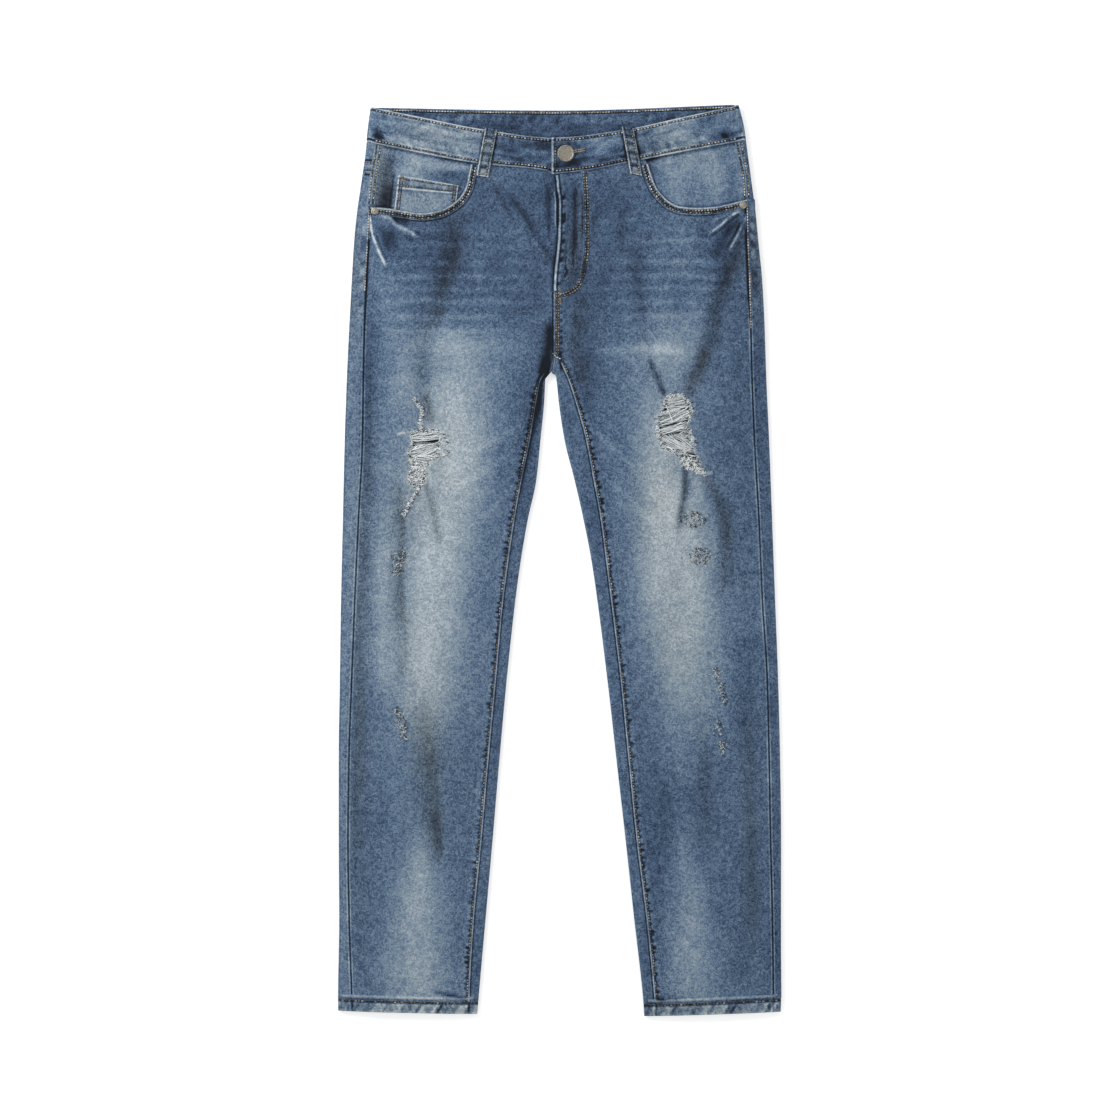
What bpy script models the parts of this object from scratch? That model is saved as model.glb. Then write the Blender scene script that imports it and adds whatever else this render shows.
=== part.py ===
"""Ripped slim jeans laid flat on their back, front up, with every cut piece as its own solid.

Frame: metres, +Z up from the surface they lie on, +Y towards the waist, -X the wearer's right.
Sizes and tables are in millimetres and become metres in world(). A "drop" is a distance below the
highest point of the back waistband. The garment is a flattened tube: at each drop its section is a
ring, with a top line, a rounded fold at each edge and a flat underside, and each panel is an arc of
that ring, thickened inwards.
"""
import math
from collections import namedtuple

import bmesh
import bpy
import numpy as np

# Driving sizes, in millimetres.
LENGTH = 1000.5           # back waistband to the lower hem
CENTRE = -0.5             # x of the middle of the whole outline
CLOTH = 1.2               # denim panel
BAND_CLOTH = 2.0          # folded waistband, two layers and the seam inside it
HEM_CLOTH = 2.2           # hem turned twice
LOOP_CLOTH = 1.6          # belt loop folded in three
COIN_CLOTH = 0.9
ZIP_CLOTH = 0.8
GAP = 0.3                 # clearance between neighbouring pieces
HALF_GAP = GAP / 2
BAND_GAP = 0.22           # half the clearance along the waistband's seam
BAND_PROUD = 0.4          # waistband and hems stand this far above the panels
FOLD_RADIUS = 2.7         # rounded fold at the edges of the legs and hips
BAND_FOLD_RADIUS = 3.3    # the same at the thicker waistband and hems
CROWN_REACH = 60.0        # how far in from an edge the top side keeps rising
CROTCH_X = -9.6           # top of the gap between the legs
CROTCH_DROP = 295.0
JUNCTION_DROP = 276.0     # where the front seam meets both inseams
CENTRE_BACK_X = -5.0
BLEND_DROP = 150.0        # below this every row of a panel is level
FLY_TOP, FLY_FOOT = 79.0, 205.0
LOOP_WIDTH = 13.0
BUTTON_X, BUTTON_DROP = 6.4, 55.0
BUTTON_RADIUS = 9.3
SHANK_RADIUS = 2.2
LAP_LENGTH = 38.0         # how far the right end of the band runs under the left end
LAP_GAP = 0.5             # between those two layers
DIP_START, DIP_RUN = 18.0, 15.0   # the right end dips under, from this far short of the fly
BAND_DROP = 20.0          # about the middle of the waistband at the side seams
BAND_FLAT_MARGIN = 9.0    # the band's flat faces stop this far from its folded edges
PANEL_FOOT = 984.0        # about where the panels end, at the hems
PANEL_HEAD = 60.0         # about where they start, at the waistband
TEAR_LOW, TEAR_HIGH = 3.0, 16.0   # heights between which the torn holes are cut
ZIP_SPAN = (-10.0, 16.0)  # from the fly's edge, towards the wearer's left
UNDERLAP_SPAN = (-12.0, 36.0)
BACK_LOOP_TAIL = 12.0     # how far the back belt loops run on below the waistband
RIVET_RADIUS = 4.2

Edge = namedtuple("Edge", "drop silhouette outseam")
Inner = namedtuple("Inner", "drop silhouette inseam")
Fold = namedtuple("Fold", "x0 drop0 x1 drop1 width height")
Loop = namedtuple("Loop", "x0 drop0 x1 drop1")
Hem = namedtuple("Hem", "top_outer top_inner foot_outer foot_inner")

SIGN = {"right": -1, "left": 1}

# Outer silhouette and side seam of each side, from waist to hem.
OUTER = {
    "right": [
        Edge(0, -207.4, -194.0), Edge(26, -211.0, -196.5), Edge(52, -213.3, -199.5),
        Edge(83, -217.7, -204.5), Edge(117, -222.7, -207.8), Edge(149, -226.0, -209.5),
        Edge(193, -228.6, -212.0), Edge(237, -231.0, -214.0), Edge(298, -234.0, -215.5),
        Edge(368, -236.5, -216.5), Edge(456, -238.5, -221.0), Edge(544, -240.5, -225.0),
        Edge(631, -241.8, -228.4), Edge(719, -243.0, -231.5), Edge(807, -243.0, -232.5),
        Edge(895, -242.5, -231.2), Edge(982, -243.8, -228.3), Edge(1001, -243.4, -228.0),
    ],
    "left": [
        Edge(0, 196.0, 189.0), Edge(26, 202.3, 193.0), Edge(52, 205.8, 198.0),
        Edge(83, 210.0, 203.5), Edge(117, 214.6, 205.3), Edge(149, 217.7, 206.0),
        Edge(193, 222.0, 207.8), Edge(237, 224.4, 209.0), Edge(298, 226.5, 210.5),
        Edge(368, 229.7, 213.3), Edge(456, 233.0, 218.2), Edge(544, 236.3, 222.0),
        Edge(631, 239.6, 227.3), Edge(719, 241.8, 229.4), Edge(807, 242.9, 231.0),
        Edge(895, 242.8, 233.0), Edge(982, 242.8, 234.0), Edge(1001, 242.4, 234.0),
    ],
}

# Inner silhouette and inseam of each leg, from the front seam's foot to the hem.
INNER = {
    "right": [
        Inner(276, -5.2, -7.2), Inner(286, -7.2, -10.8), Inner(294, -9.8, -15.2),
        Inner(297, -15.2, -18.2), Inner(302, -16.2, -21.4), Inner(324, -17.2, -26.0),
        Inner(368, -21.5, -33.5),
        Inner(412, -26.0, -42.5), Inner(456, -35.5, -50.5), Inner(500, -43.0, -57.0),
        Inner(544, -49.0, -62.7), Inner(631, -58.5, -70.7), Inner(719, -66.5, -79.0),
        Inner(807, -74.0, -86.6), Inner(895, -81.8, -95.0), Inner(982, -89.5, -99.8),
        Inner(1001, -91.0, -100.0),
    ],
    "left": [
        Inner(276, -4.8, -2.8), Inner(286, -6.8, 2.6), Inner(294, -9.4, 6.2),
        Inner(297, -4.6, 7.5), Inner(302, -3.8, 9.6), Inner(324, -1.6, 17.0),
        Inner(368, 5.0, 29.0),
        Inner(412, 16.0, 37.3), Inner(456, 26.0, 45.3), Inner(500, 34.5, 51.0),
        Inner(544, 41.0, 56.5), Inner(631, 52.0, 67.0), Inner(719, 62.0, 75.7),
        Inner(807, 72.0, 84.6), Inner(895, 81.6, 95.6), Inner(982, 91.3, 104.2),
        Inner(1001, 92.6, 105.6),
    ],
}

# Lines given as (drop, x) or (x, drop) points.
FLY_EDGE = [(30, -8.0), (62, -7.2), (87, -2.4), (108, 1.2), (145, 0.0), (200, -4.8), (276, -5.0)]
FRONT_TOP = [(-207, 3.3), (-145, 16.5), (-83, 28.5), (-8, 37.3), (68, 29.0), (132, 15.5), (196, 1.1)]
BACK_TOP = [(-207, 3.3), (-5, 6.5), (196, 0.0)]
BAND_SEAM = {
    "right": [(-213, 41.5), (-150, 55.0), (-90, 65.8), (-14, 74.0), (-7, 78.3), (40, 78.5)],
    "left": [(-10, 78.0), (30, 73.5), (75, 64.7), (140, 52.0), (206, 39.3)],
}
BACK_SEAM = [(-213, 41.5), (-5, 46.5), (206, 39.3)]
WAIST_SEAM_DROP = 43.0    # the waistband's seam at the side seams
YOKE_SIDE_DROP, YOKE_CENTRE_DROP = 70.0, 108.0
# Drop of the pocket mouth against the fraction of the front's width from the side seam.
MOUTH = {
    "right": [(0, 113), (0.09, 115), (0.18, 118), (0.27, 120.3), (0.36, 117.5), (0.44, 108.5),
              (0.50, 93), (0.535, 66.5)],
    "left": [(0, 104.5), (0.06, 108), (0.12, 111), (0.18, 113.3), (0.27, 114.4), (0.36, 113),
             (0.42, 107.5), (0.464, 97.5), (0.487, 88.5), (0.505, 66)],
}
MOUTH_END = {"right": 0.535, "left": 0.505}
MOUTH_STEEP = {"right": 0.50, "left": 0.464}    # past this a facing's foot keeps level
# A pocket facing: it runs on under the front panel by TUCK, is sunk towards the fly from a
# fraction of the front's width, and comes up flush over a short run at its sewn edges.
TUCK = 9.0
TUCK_START, TUCK_RUN = 0.10, 0.06
SINK_START, SINK_RUN = 0.32, 0.10
FLUSH_SIDE_RUN, FLUSH_TOP_RUN = 0.12, 25.0
FRONT_COLUMNS = (0, 0.09, 0.18, 0.27, 0.36, 0.44, 0.47, 0.50, 0.535, 0.69, 0.86, 1.0)
LEVEL_DROPS = (150, 176, 202, 228, 252, 276, 286, 294, 297, 302, 313, 332, 354, 378, 402, 426, 452, 480,
               510, 545, 585, 630, 680, 735, 795, 860, 925)
FOLD_ANGLES = (90, 45, 0, -45, -90)
FLOOR_SHARES = (0.25, 0.5, 0.75, 1.0)

# Height of the underside and of the middle of the top side, as (drop, height).
UNDERSIDE = [(0, 2.0), (75, 2.0), (104, 1.5), (262, 1.5), (330, 0.0), (1001, 0.0)]
TOP_MIDDLE = [(0, 13.0), (110, 12.9), (200, 12.2), (300, 10.8), (420, 10.2), (800, 9.9),
              (1001, 9.7)]

# The largest folds of the front, as soft ridges (+) and troughs (-).
FOLDS = [
    Fold(-108, 140, -162, 322, 15, -1.5), Fold(-56, 176, -18, 236, 12, -0.8),
    Fold(190, 186, 138, 326, 14, -1.4), Fold(84, 140, 116, 320, 14, -1.1),
    Fold(-120, 330, -131, 560, 18, 1.1), Fold(-164, 404, -166, 590, 13, -1.3),
    Fold(-143, 396, -141, 520, 10, -1.0), Fold(-147, 640, -128, 830, 15, -1.2),
    Fold(116, 352, 142, 600, 18, 1.1), Fold(156, 396, 168, 560, 13, -1.3),
    Fold(150, 640, 158, 820, 15, -1.0), Fold(-105, 800, -150, 960, 18, 0.8),
    Fold(136, 820, 170, 960, 18, 0.8),
]

HEMS = {"right": Hem(981.5, 985.0, 994.5, 998.0), "left": Hem(981.5, 987.5, 995.5, 1000.5)}
FRONT_LOOPS = {"right": Loop(-75.3, 28.0, -85.0, 80.0), "left": Loop(74.0, 26.8, 83.4, 78.0)}
BACK_LOOPS = {"side_right": -150.0, "back": CENTRE_BACK_X, "side_left": 140.0}
COIN_POCKET = ((-177.0, 78.0), (-111.0, 89.4), (-115.0, 118.0), (-182.5, 124.0))
BACK_POCKETS = {"right": -108.0, "left": 98.0}
# Half of a back pocket's outline, from the middle of its mouth: (across, drop).
POCKET_HALF_OUTLINE = ((0.0, 110.0), (76.0, 108.0), (68.0, 232.0), (0.0, 258.0))
RIVETS = {"right": (-203.0, 117.6), "left": (200.4, 111.0)}
# Outline of each torn hole, in order round it: (x, drop).
TEARS = {
    "right": ((-164, 360), (-149, 357.5), (-133, 361), (-131, 375), (-139, 388), (-147, 399),
              (-148.5, 414), (-157, 419), (-166, 410), (-163, 397), (-166, 385), (-162, 373)),
    "left": ((116, 322), (128, 320), (141, 328), (143.5, 339), (138, 358), (147.5, 375),
             (153, 390), (157, 404), (146, 401), (135, 396), (130.5, 385), (113.5, 377),
             (106, 352), (112, 334)),
}

COLLECTION = "ripped_jeans"
CUTTERS = "cutters"

# Colour (linear), roughness and metallic of each material.
FINISHES = {
    "denim_front": ((0.13, 0.20, 0.29), 0.85, 0.0),
    "denim_back": ((0.09, 0.15, 0.23), 0.85, 0.0),
    "denim_band": ((0.17, 0.24, 0.32), 0.85, 0.0),
    "denim_worn": ((0.21, 0.28, 0.36), 0.85, 0.0),
    "denim_hem": ((0.15, 0.20, 0.26), 0.85, 0.0),
    "zip_tape": ((0.04, 0.05, 0.07), 0.80, 0.0),
    "button_metal": ((0.18, 0.17, 0.14), 0.45, 1.0),
    "rivet_metal": ((0.20, 0.19, 0.17), 0.45, 1.0),
}


def smooth(points):
    """Return a curve through a few (x, y) points that never swings past them."""
    xs, ys = (np.array(column, float) for column in zip(*points))
    slopes = np.diff(ys) / np.diff(xs)
    tangents = np.zeros(len(xs))
    tangents[0], tangents[-1] = slopes[0], slopes[-1]
    for i in range(1, len(xs) - 1):
        if slopes[i - 1] * slopes[i] > 0:
            tangents[i] = 2 * slopes[i - 1] * slopes[i] / (slopes[i - 1] + slopes[i])

    def value(x):
        i = int(np.clip(np.searchsorted(xs, x) - 1, 0, len(xs) - 2))
        span = xs[i + 1] - xs[i]
        t = min(max((x - xs[i]) / span, 0.0), 1.0)
        a, b = ys[i], ys[i + 1]
        m, n = tangents[i] * span, tangents[i + 1] * span
        return float((2 * t**3 - 3 * t**2 + 1) * a + (t**3 - 2 * t**2 + t) * m
                     + (3 * t**2 - 2 * t**3) * b + (t**3 - t**2) * n)

    return value


def ease(t):
    """Return 0 below t = 0, 1 above t = 1, and a smooth rise between."""
    t = min(max(t, 0.0), 1.0)
    return t * t * (3 - 2 * t)


def lerp(a, b, t):
    return a + (b - a) * t


outer_edge = {side: smooth([(r.drop, r.silhouette) for r in OUTER[side]]) for side in OUTER}
outseam = {side: smooth([(r.drop, r.outseam) for r in OUTER[side]]) for side in OUTER}
inner_edge = {side: smooth([(r.drop, r.silhouette) for r in INNER[side]]) for side in INNER}
inseam = {side: smooth([(r.drop, r.inseam) for r in INNER[side]]) for side in INNER}
fly_edge = smooth(FLY_EDGE)
front_top = smooth(FRONT_TOP)
back_top = smooth(BACK_TOP)
back_seam = smooth(BACK_SEAM)
band_seam = {side: smooth(points) for side, points in BAND_SEAM.items()}
mouth = {side: smooth(points) for side, points in MOUTH.items()}
underside = smooth(UNDERSIDE)
top_middle = smooth(TOP_MIDDLE)


def inset(x, drop):
    """Return how far a point lies in from the nearest edge of the garment."""
    if drop < CROTCH_DROP:
        sides = min(x - outer_edge["right"](drop), outer_edge["left"](drop) - x)
        crotch = math.hypot(x - CROTCH_X, CROTCH_DROP - drop)
        return max(min(sides, crotch), 0.0)
    side = "right" if x < CROTCH_X else "left"
    return max(min(abs(x - outer_edge[side](drop)), abs(x - inner_edge[side](drop))), 0.0)


def fold_height(x, drop):
    """Return the sum of the large folds at a point."""
    total = 0.0
    for fold in FOLDS:
        run_x, run_drop = fold.x1 - fold.x0, fold.drop1 - fold.drop0
        length = math.hypot(run_x, run_drop)
        along = ((x - fold.x0) * run_x + (drop - fold.drop0) * run_drop) / length**2
        if 0 < along < 1:
            across = ((x - fold.x0) * run_drop - (drop - fold.drop0) * run_x) / length
            total += fold.height * math.sin(math.pi * along) * math.exp(-(across / fold.width)**2)
    return total


def top_height(x, drop):
    """Return the height of the outer face of the top side."""
    rise = min(inset(x, drop) / CROWN_REACH, 1.0)
    low = underside(drop) + 2 * FOLD_RADIUS
    folds = fold_height(x, drop) * ease(inset(x, drop) / 30)
    return low + (top_middle(drop) - low) * (1 - (1 - rise)**2) + folds


def top_point(x, drop, proud=0.0):
    return (x, drop, top_height(x, drop) + proud)


def fold_point(edge, inwards, radius, angle, drop, proud=0.0):
    """Return a point of a rounded edge: angle 90 is on the top side, -90 on the underside."""
    middle = edge + inwards * radius
    high, low = top_height(middle, drop) + proud, underside(drop)
    x = middle - inwards * radius * math.cos(math.radians(angle))
    return (x, drop, (high + low) / 2 + (high - low) / 2 * math.sin(math.radians(angle)))


def world(point):
    x, drop, z = point
    return ((x - CENTRE) * 0.001, (LENGTH / 2 - drop) * 0.001, z * 0.001)


# ---------------------------------------------------------------- objects and materials

def collection(name):
    found = bpy.data.collections.new(name)
    bpy.context.scene.collection.children.link(found)
    return found


def material(name):
    colour, roughness, metallic = FINISHES[name]
    made = bpy.data.materials.get(name) or bpy.data.materials.new(name)
    made.use_nodes = True
    shader = made.node_tree.nodes["Principled BSDF"]
    shader.inputs["Base Color"].default_value = (*colour, 1.0)
    shader.inputs["Roughness"].default_value = roughness
    shader.inputs["Metallic"].default_value = metallic
    return made


def add_object(name, mesh, finish):
    made = bpy.data.objects.new(name, mesh)
    bpy.data.collections[COLLECTION].objects.link(made)
    mesh.materials.append(material(finish))
    mesh.shade_smooth()
    return made


def sheet(name, rows, thickness, finish, faces_up=True, closed=False):
    """Make a cloth piece from rows of (x, drop, z) points on its outer face, thickened inwards.

    A row may be shorter than the next one, where the piece is narrower. With closed=True each row
    runs right round and meets itself.
    """
    mesh = bpy.data.meshes.new(name)
    work = bmesh.new()
    grid = [[work.verts.new(world(point)) for point in row] for row in rows]
    for upper, lower in zip(grid, grid[1:]):
        count = min(len(upper), len(lower))
        for i in range(count if closed else count - 1):
            j = (i + 1) % count
            work.faces.new((upper[i], lower[i], lower[j], upper[j]))
    work.faces.ensure_lookup_table()
    work.normal_update()
    if (work.faces[0].normal.z > 0) != faces_up:
        bmesh.ops.reverse_faces(work, faces=work.faces[:])
    work.to_mesh(mesh)
    work.free()
    made = add_object(name, mesh, finish)
    wall = made.modifiers.new("wall", "SOLIDIFY")
    wall.thickness = thickness * 0.001
    wall.offset = -1
    wall.use_even_offset = True
    wall.use_quality_normals = True
    return made


def cut_prism(target, name, outline, low, high):
    """Cut a hole of the given (x, drop) outline through a piece, between two heights."""
    mesh = bpy.data.meshes.new(name)
    work = bmesh.new()
    base = work.faces.new([work.verts.new(world((x, drop, low))) for x, drop in outline])
    lifted = bmesh.ops.extrude_face_region(work, geom=[base])
    raised = [item for item in lifted["geom"] if isinstance(item, bmesh.types.BMVert)]
    bmesh.ops.translate(work, verts=raised, vec=(0, 0, (high - low) * 0.001))
    bmesh.ops.recalc_face_normals(work, faces=work.faces[:])
    work.to_mesh(mesh)
    work.free()
    cutter = bpy.data.objects.new(name, mesh)
    bpy.data.collections[CUTTERS].objects.link(cutter)
    cutter.hide_render = True
    cutter.display_type = "WIRE"
    cut = target.modifiers.new(name, "BOOLEAN")
    cut.operation = "DIFFERENCE"
    cut.object = cutter


def turned(name, profile, centre, steps, finish):
    """Make a turned piece from an (radius, height) profile that runs from its top to its foot."""
    mesh = bpy.data.meshes.new(name)
    work = bmesh.new()
    verts = [work.verts.new((radius * 0.001, 0, height * 0.001)) for radius, height in profile]
    for a, b in zip(verts, verts[1:]):
        work.edges.new((a, b))
    work.to_mesh(mesh)
    work.free()
    made = add_object(name, mesh, finish)
    made.location = world(centre)
    turn = made.modifiers.new("turn", "SCREW")
    turn.steps = turn.render_steps = steps
    turn.use_merge_vertices = True
    turn.merge_threshold = 0.00001


# ---------------------------------------------------------------- panels

def front_x(side, fraction, drop, seam_gap=HALF_GAP):
    """Return x at a fraction of the front's width, from the side seam to the fly or inseam."""
    outer = outseam[side](drop) - SIGN[side] * seam_gap
    inner = fly_edge(drop) if drop < JUNCTION_DROP else inseam[side](drop)
    return lerp(outer, inner + SIGN[side] * seam_gap, fraction)


def front_seam_drop(side, fraction):
    """Return the drop of the waistband's seam at a fraction of the front's width."""
    drop = PANEL_HEAD
    for _ in range(4):
        drop = band_seam[side](front_x(side, fraction, drop)) + BAND_GAP
    return drop


def hem_line(side, line, x):
    """Return the drop of a hem's top or foot at x."""
    hem = HEMS[side]
    outer, inner = outer_edge[side](LENGTH), inner_edge[side](LENGTH)
    ends = (hem.top_outer, hem.top_inner) if line == "top" else (hem.foot_outer, hem.foot_inner)
    return lerp(*ends, (x - outer) / (inner - outer))


def front_panel(side):
    """The front leg panel, cut away at the pocket mouth, with its torn hole."""
    def upper_drop(fraction):
        if fraction < MOUTH_END[side]:
            return mouth[side](fraction) + HALF_GAP
        return front_seam_drop(side, fraction)

    def row(drop_at):
        return [top_point(front_x(side, u, drop_at(u)), drop_at(u)) for u in FRONT_COLUMNS]

    def foot_drop(fraction):
        return hem_line(side, "top", front_x(side, fraction, PANEL_FOOT)) - HALF_GAP

    rows = [row(lambda u, k=k: lerp(upper_drop(u), BLEND_DROP, k / 4)) for k in range(4)]
    rows += [row(lambda u, drop=drop: drop) for drop in LEVEL_DROPS]
    rows.append(row(foot_drop))
    panel = sheet(f"front_panel_{side}", rows, CLOTH, "denim_front")
    cut_prism(panel, f"tear_cutter_{side}", TEARS[side], TEAR_LOW, TEAR_HIGH)


def back_arc(side, drop_at, legs):
    """Return an arc of the ring from the side seam, round the outer edge, to the centre back.

    drop_at(x, on_top) gives the drop at each place. Where legs is true, the arc goes on round the
    inner edge and up to the inseam.
    """
    inwards = -SIGN[side]
    near = LENGTH if legs else WAIST_SEAM_DROP
    seam_drop = drop_at(outseam[side](near), True)
    edge_drop = drop_at(outer_edge[side](near), True)
    inner_drop = drop_at(inner_edge[side](LENGTH), False)
    edge, fold = outer_edge[side](edge_drop), inner_edge[side](inner_drop)
    seam = inseam[side](inner_drop)
    radius = min(FOLD_RADIUS, abs(seam - fold) - GAP)
    start = edge + inwards * FOLD_RADIUS
    end = fold - inwards * radius if legs else CENTRE_BACK_X - inwards * HALF_GAP
    points = [top_point(outseam[side](seam_drop) - inwards * HALF_GAP, seam_drop)]
    points += [fold_point(edge, inwards, FOLD_RADIUS, angle, edge_drop) for angle in FOLD_ANGLES]
    for share in FLOOR_SHARES:
        x = lerp(start, end, share)
        drop = drop_at(x, False)
        points.append((x, drop, underside(drop)))
    if legs:
        points += [fold_point(fold, -inwards, radius, angle, inner_drop)
                   for angle in reversed(FOLD_ANGLES[:-1])]
        points.append(top_point(seam + inwards * HALF_GAP, drop_at(seam, True)))
    return points


def yoke_drop(side, x, on_top):
    """Return the drop of the yoke's lower seam, which falls towards the centre back."""
    outer = outer_edge[side](YOKE_SIDE_DROP)
    share = 0.0 if on_top else (x - outer) / (CENTRE_BACK_X - outer)
    return lerp(YOKE_SIDE_DROP, YOKE_CENTRE_DROP, share)


def back_panel(side):
    """The back leg panel, which wraps both edges of the leg onto the top side."""
    def upper(x, on_top, share):
        return lerp(yoke_drop(side, x, on_top) + HALF_GAP, BLEND_DROP, share)

    rows = [back_arc(side, lambda x, on_top, k=k: upper(x, on_top, k / 4), False) for k in range(4)]
    rows += [back_arc(side, lambda x, on_top, drop=drop: drop, drop >= JUNCTION_DROP)
             for drop in LEVEL_DROPS]
    rows.append(back_arc(side, lambda x, on_top: hem_line(side, "top", x) - HALF_GAP, True))
    sheet(f"back_panel_{side}", rows, CLOTH, "denim_back")


def back_yoke(side):
    """The yoke between the waistband and the back panel, round to the side seam."""
    def drop_at(x, on_top, share):
        seam = band_seam[side](x) if on_top else back_seam(x)
        return lerp(seam + BAND_GAP, yoke_drop(side, x, on_top) - HALF_GAP, share)

    rows = [back_arc(side, lambda x, on_top, k=k: drop_at(x, on_top, k / 2), False)
            for k in range(3)]
    sheet(f"back_yoke_{side}", rows, CLOTH, "denim_back")


# ---------------------------------------------------------------- waistband and hems

def waistband():
    """One band all round: its left end, with the buttonhole, laps over its right end."""
    shares = (0, 0.5, 1)

    def column(x, side, sink=0.0):
        drops = (front_top(x), band_seam[side](x) - BAND_GAP)
        return [top_point(x, lerp(*drops, v), BAND_PROUD - sink) for v in shares]

    def fold_columns(side):
        made = []
        for angle in FOLD_ANGLES:
            upper = lerp(front_top(outer_edge[side](0)), back_top(outer_edge[side](0)), 0.5)
            lower = band_seam[side](outer_edge[side](42)) - BAND_GAP
            drops = [lerp(upper, lower, v) for v in shares]
            made.append([fold_point(outer_edge[side](drop), -SIGN[side], BAND_FOLD_RADIUS, angle,
                                    drop, BAND_PROUD) for drop in drops])
        return made

    def floor_column(x):
        drops = [lerp(back_top(x), back_seam(x) - BAND_GAP, v) for v in shares]
        return [(x, drop, underside(drop)) for drop in drops]

    start = fly_edge(55)
    left_end = outer_edge["left"](BAND_DROP) - BAND_FLAT_MARGIN
    right_end = outer_edge["right"](BAND_DROP) + BAND_FLAT_MARGIN
    columns = [column(x, "left") for x in np.linspace(start, left_end, 12)]
    columns += fold_columns("left")
    columns += [floor_column(x) for x in np.linspace(left_end, right_end, 13)]
    columns += reversed(fold_columns("right"))
    columns += [column(x, "right") for x in np.linspace(right_end, start - DIP_START - 4, 10)]
    for x in np.linspace(start - DIP_START + 2, start + LAP_LENGTH, 7):
        sink = (BAND_CLOTH + LAP_GAP) * ease((x - start + DIP_START) / DIP_RUN)
        columns.append(column(x, "right", sink))
    band = sheet("waistband", list(zip(*columns)), BAND_CLOTH, "denim_band")
    top = top_height(BUTTON_X, BUTTON_DROP) + BAND_PROUD
    cut_prism(band, "buttonhole_cutter", buttonhole_outline(), top - BAND_CLOTH - LAP_GAP / 2,
              top + 2)


def buttonhole_outline():
    """A keyhole: a round eye about the shank and a slit that runs on towards the wearer's left."""
    eye, slit, reach = SHANK_RADIUS + 0.5, 0.8, 19.0
    outline = [(BUTTON_X + eye * math.cos(math.radians(angle)),
                BUTTON_DROP + eye * math.sin(math.radians(angle))) for angle in range(30, 331, 30)]
    rise = -2.0
    return outline + [(BUTTON_X + reach, BUTTON_DROP + rise - slit),
                      (BUTTON_X + reach, BUTTON_DROP + rise + slit)]


def hem(side):
    """The turned-up band round the foot of a leg."""
    inwards = -SIGN[side]

    def ring(line, shift):
        outer = outer_edge[side](hem_line(side, line, outer_edge[side](LENGTH)))
        inner = inner_edge[side](hem_line(side, line, inner_edge[side](LENGTH)))
        first, last = outer + inwards * BAND_FOLD_RADIUS, inner - inwards * BAND_FOLD_RADIUS

        def drop(x):
            return hem_line(side, line, x) + shift

        points = [top_point(x, drop(x), BAND_PROUD) for x in np.linspace(last, first, 10)]
        points += [fold_point(outer, inwards, BAND_FOLD_RADIUS, angle, drop(outer), BAND_PROUD)
                   for angle in FOLD_ANGLES[1:]]
        points += [(x, drop(x), 0.0) for x in np.linspace(first, last, 6)[1:]]
        points += [fold_point(inner, -inwards, BAND_FOLD_RADIUS, angle, drop(inner), BAND_PROUD)
                   for angle in (-45, 0, 45)]
        return points

    rows = [ring("top", HALF_GAP), ring("foot", 0.0)]
    sheet(f"hem_{side}", rows, HEM_CLOTH, "denim_hem", closed=True)


# ---------------------------------------------------------------- pockets, fly, loops

FACING_DEPTH = {"right": CLOTH + COIN_CLOTH + 2 * GAP + 0.1, "left": CLOTH + GAP + 0.1}


def facing_depth(side, fraction, drop, seam):
    """Return how far the facing lies below the panels' level: flush at its sewn edges."""
    near_edges = ease(fraction / FLUSH_SIDE_RUN) * ease((drop - seam) / FLUSH_TOP_RUN)
    return FACING_DEPTH[side] * max(ease((fraction - SINK_START) / SINK_RUN), near_edges)


def pocket_facing(side):
    """The denim seen in the pocket mouth, tucked under the front panel."""
    def point(fraction, share):
        tuck = TUCK * ease((fraction - TUCK_START) / TUCK_RUN)
        foot = mouth[side](min(fraction, MOUTH_STEEP[side])) - HALF_GAP + tuck
        seam = front_seam_drop(side, fraction)
        drop = lerp(seam, foot, share)
        depth = facing_depth(side, fraction, drop, seam)
        return top_point(front_x(side, fraction, drop, 2 * GAP), drop, -depth)

    columns = (0, 0.05, 0.09, 0.13, 0.18, 0.27, 0.36, 0.44, 0.50, 0.56)
    rows = [[point(u, share / 6) for u in columns] for share in range(7)]
    sheet(f"pocket_facing_{side}", rows, CLOTH, "denim_worn")


def coin_pocket():
    """The small pocket on the right-hand facing, its foot tucked under the front panel."""
    upper_outer, upper_inner, lower_inner, lower_outer = COIN_POCKET

    def point(u, v):
        x = lerp(lerp(upper_outer[0], upper_inner[0], u), lerp(lower_outer[0], lower_inner[0], u), v)
        drop = lerp(lerp(upper_outer[1], upper_inner[1], u), lerp(lower_outer[1], lower_inner[1], u), v)
        outer, inner = outseam["right"](drop), fly_edge(drop)
        fraction = (x - outer) / (inner - outer)
        depth = facing_depth("right", fraction, drop, band_seam["right"](x))
        return top_point(x, drop, COIN_CLOTH + GAP - depth)

    rows = [[point(u / 4, v / 3) for u in range(5)] for v in range(4)]
    sheet("coin_pocket", rows, COIN_CLOTH, "denim_worn")


def back_pocket(side):
    """A plain patch pocket on the underside, with a pointed foot."""
    middle = BACK_POCKETS[side]
    (_, mouth_middle), (half, mouth_side), (foot_half, foot_side), (_, foot_middle) = \
        POCKET_HALF_OUTLINE
    rows = []
    for v in (0, 0.5, 1):
        row = []
        for across in (-1, -0.5, 0, 0.5, 1):
            width = lerp(half, foot_half, v)
            upper = lerp(mouth_middle, mouth_side, abs(across))
            lower = lerp(foot_middle, foot_side, abs(across))
            row.append((middle + across * width, lerp(upper, lower, v), 0.0))
        rows.append(row)
    sheet(f"back_pocket_{side}", rows, CLOTH, "denim_back", faces_up=False)


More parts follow.
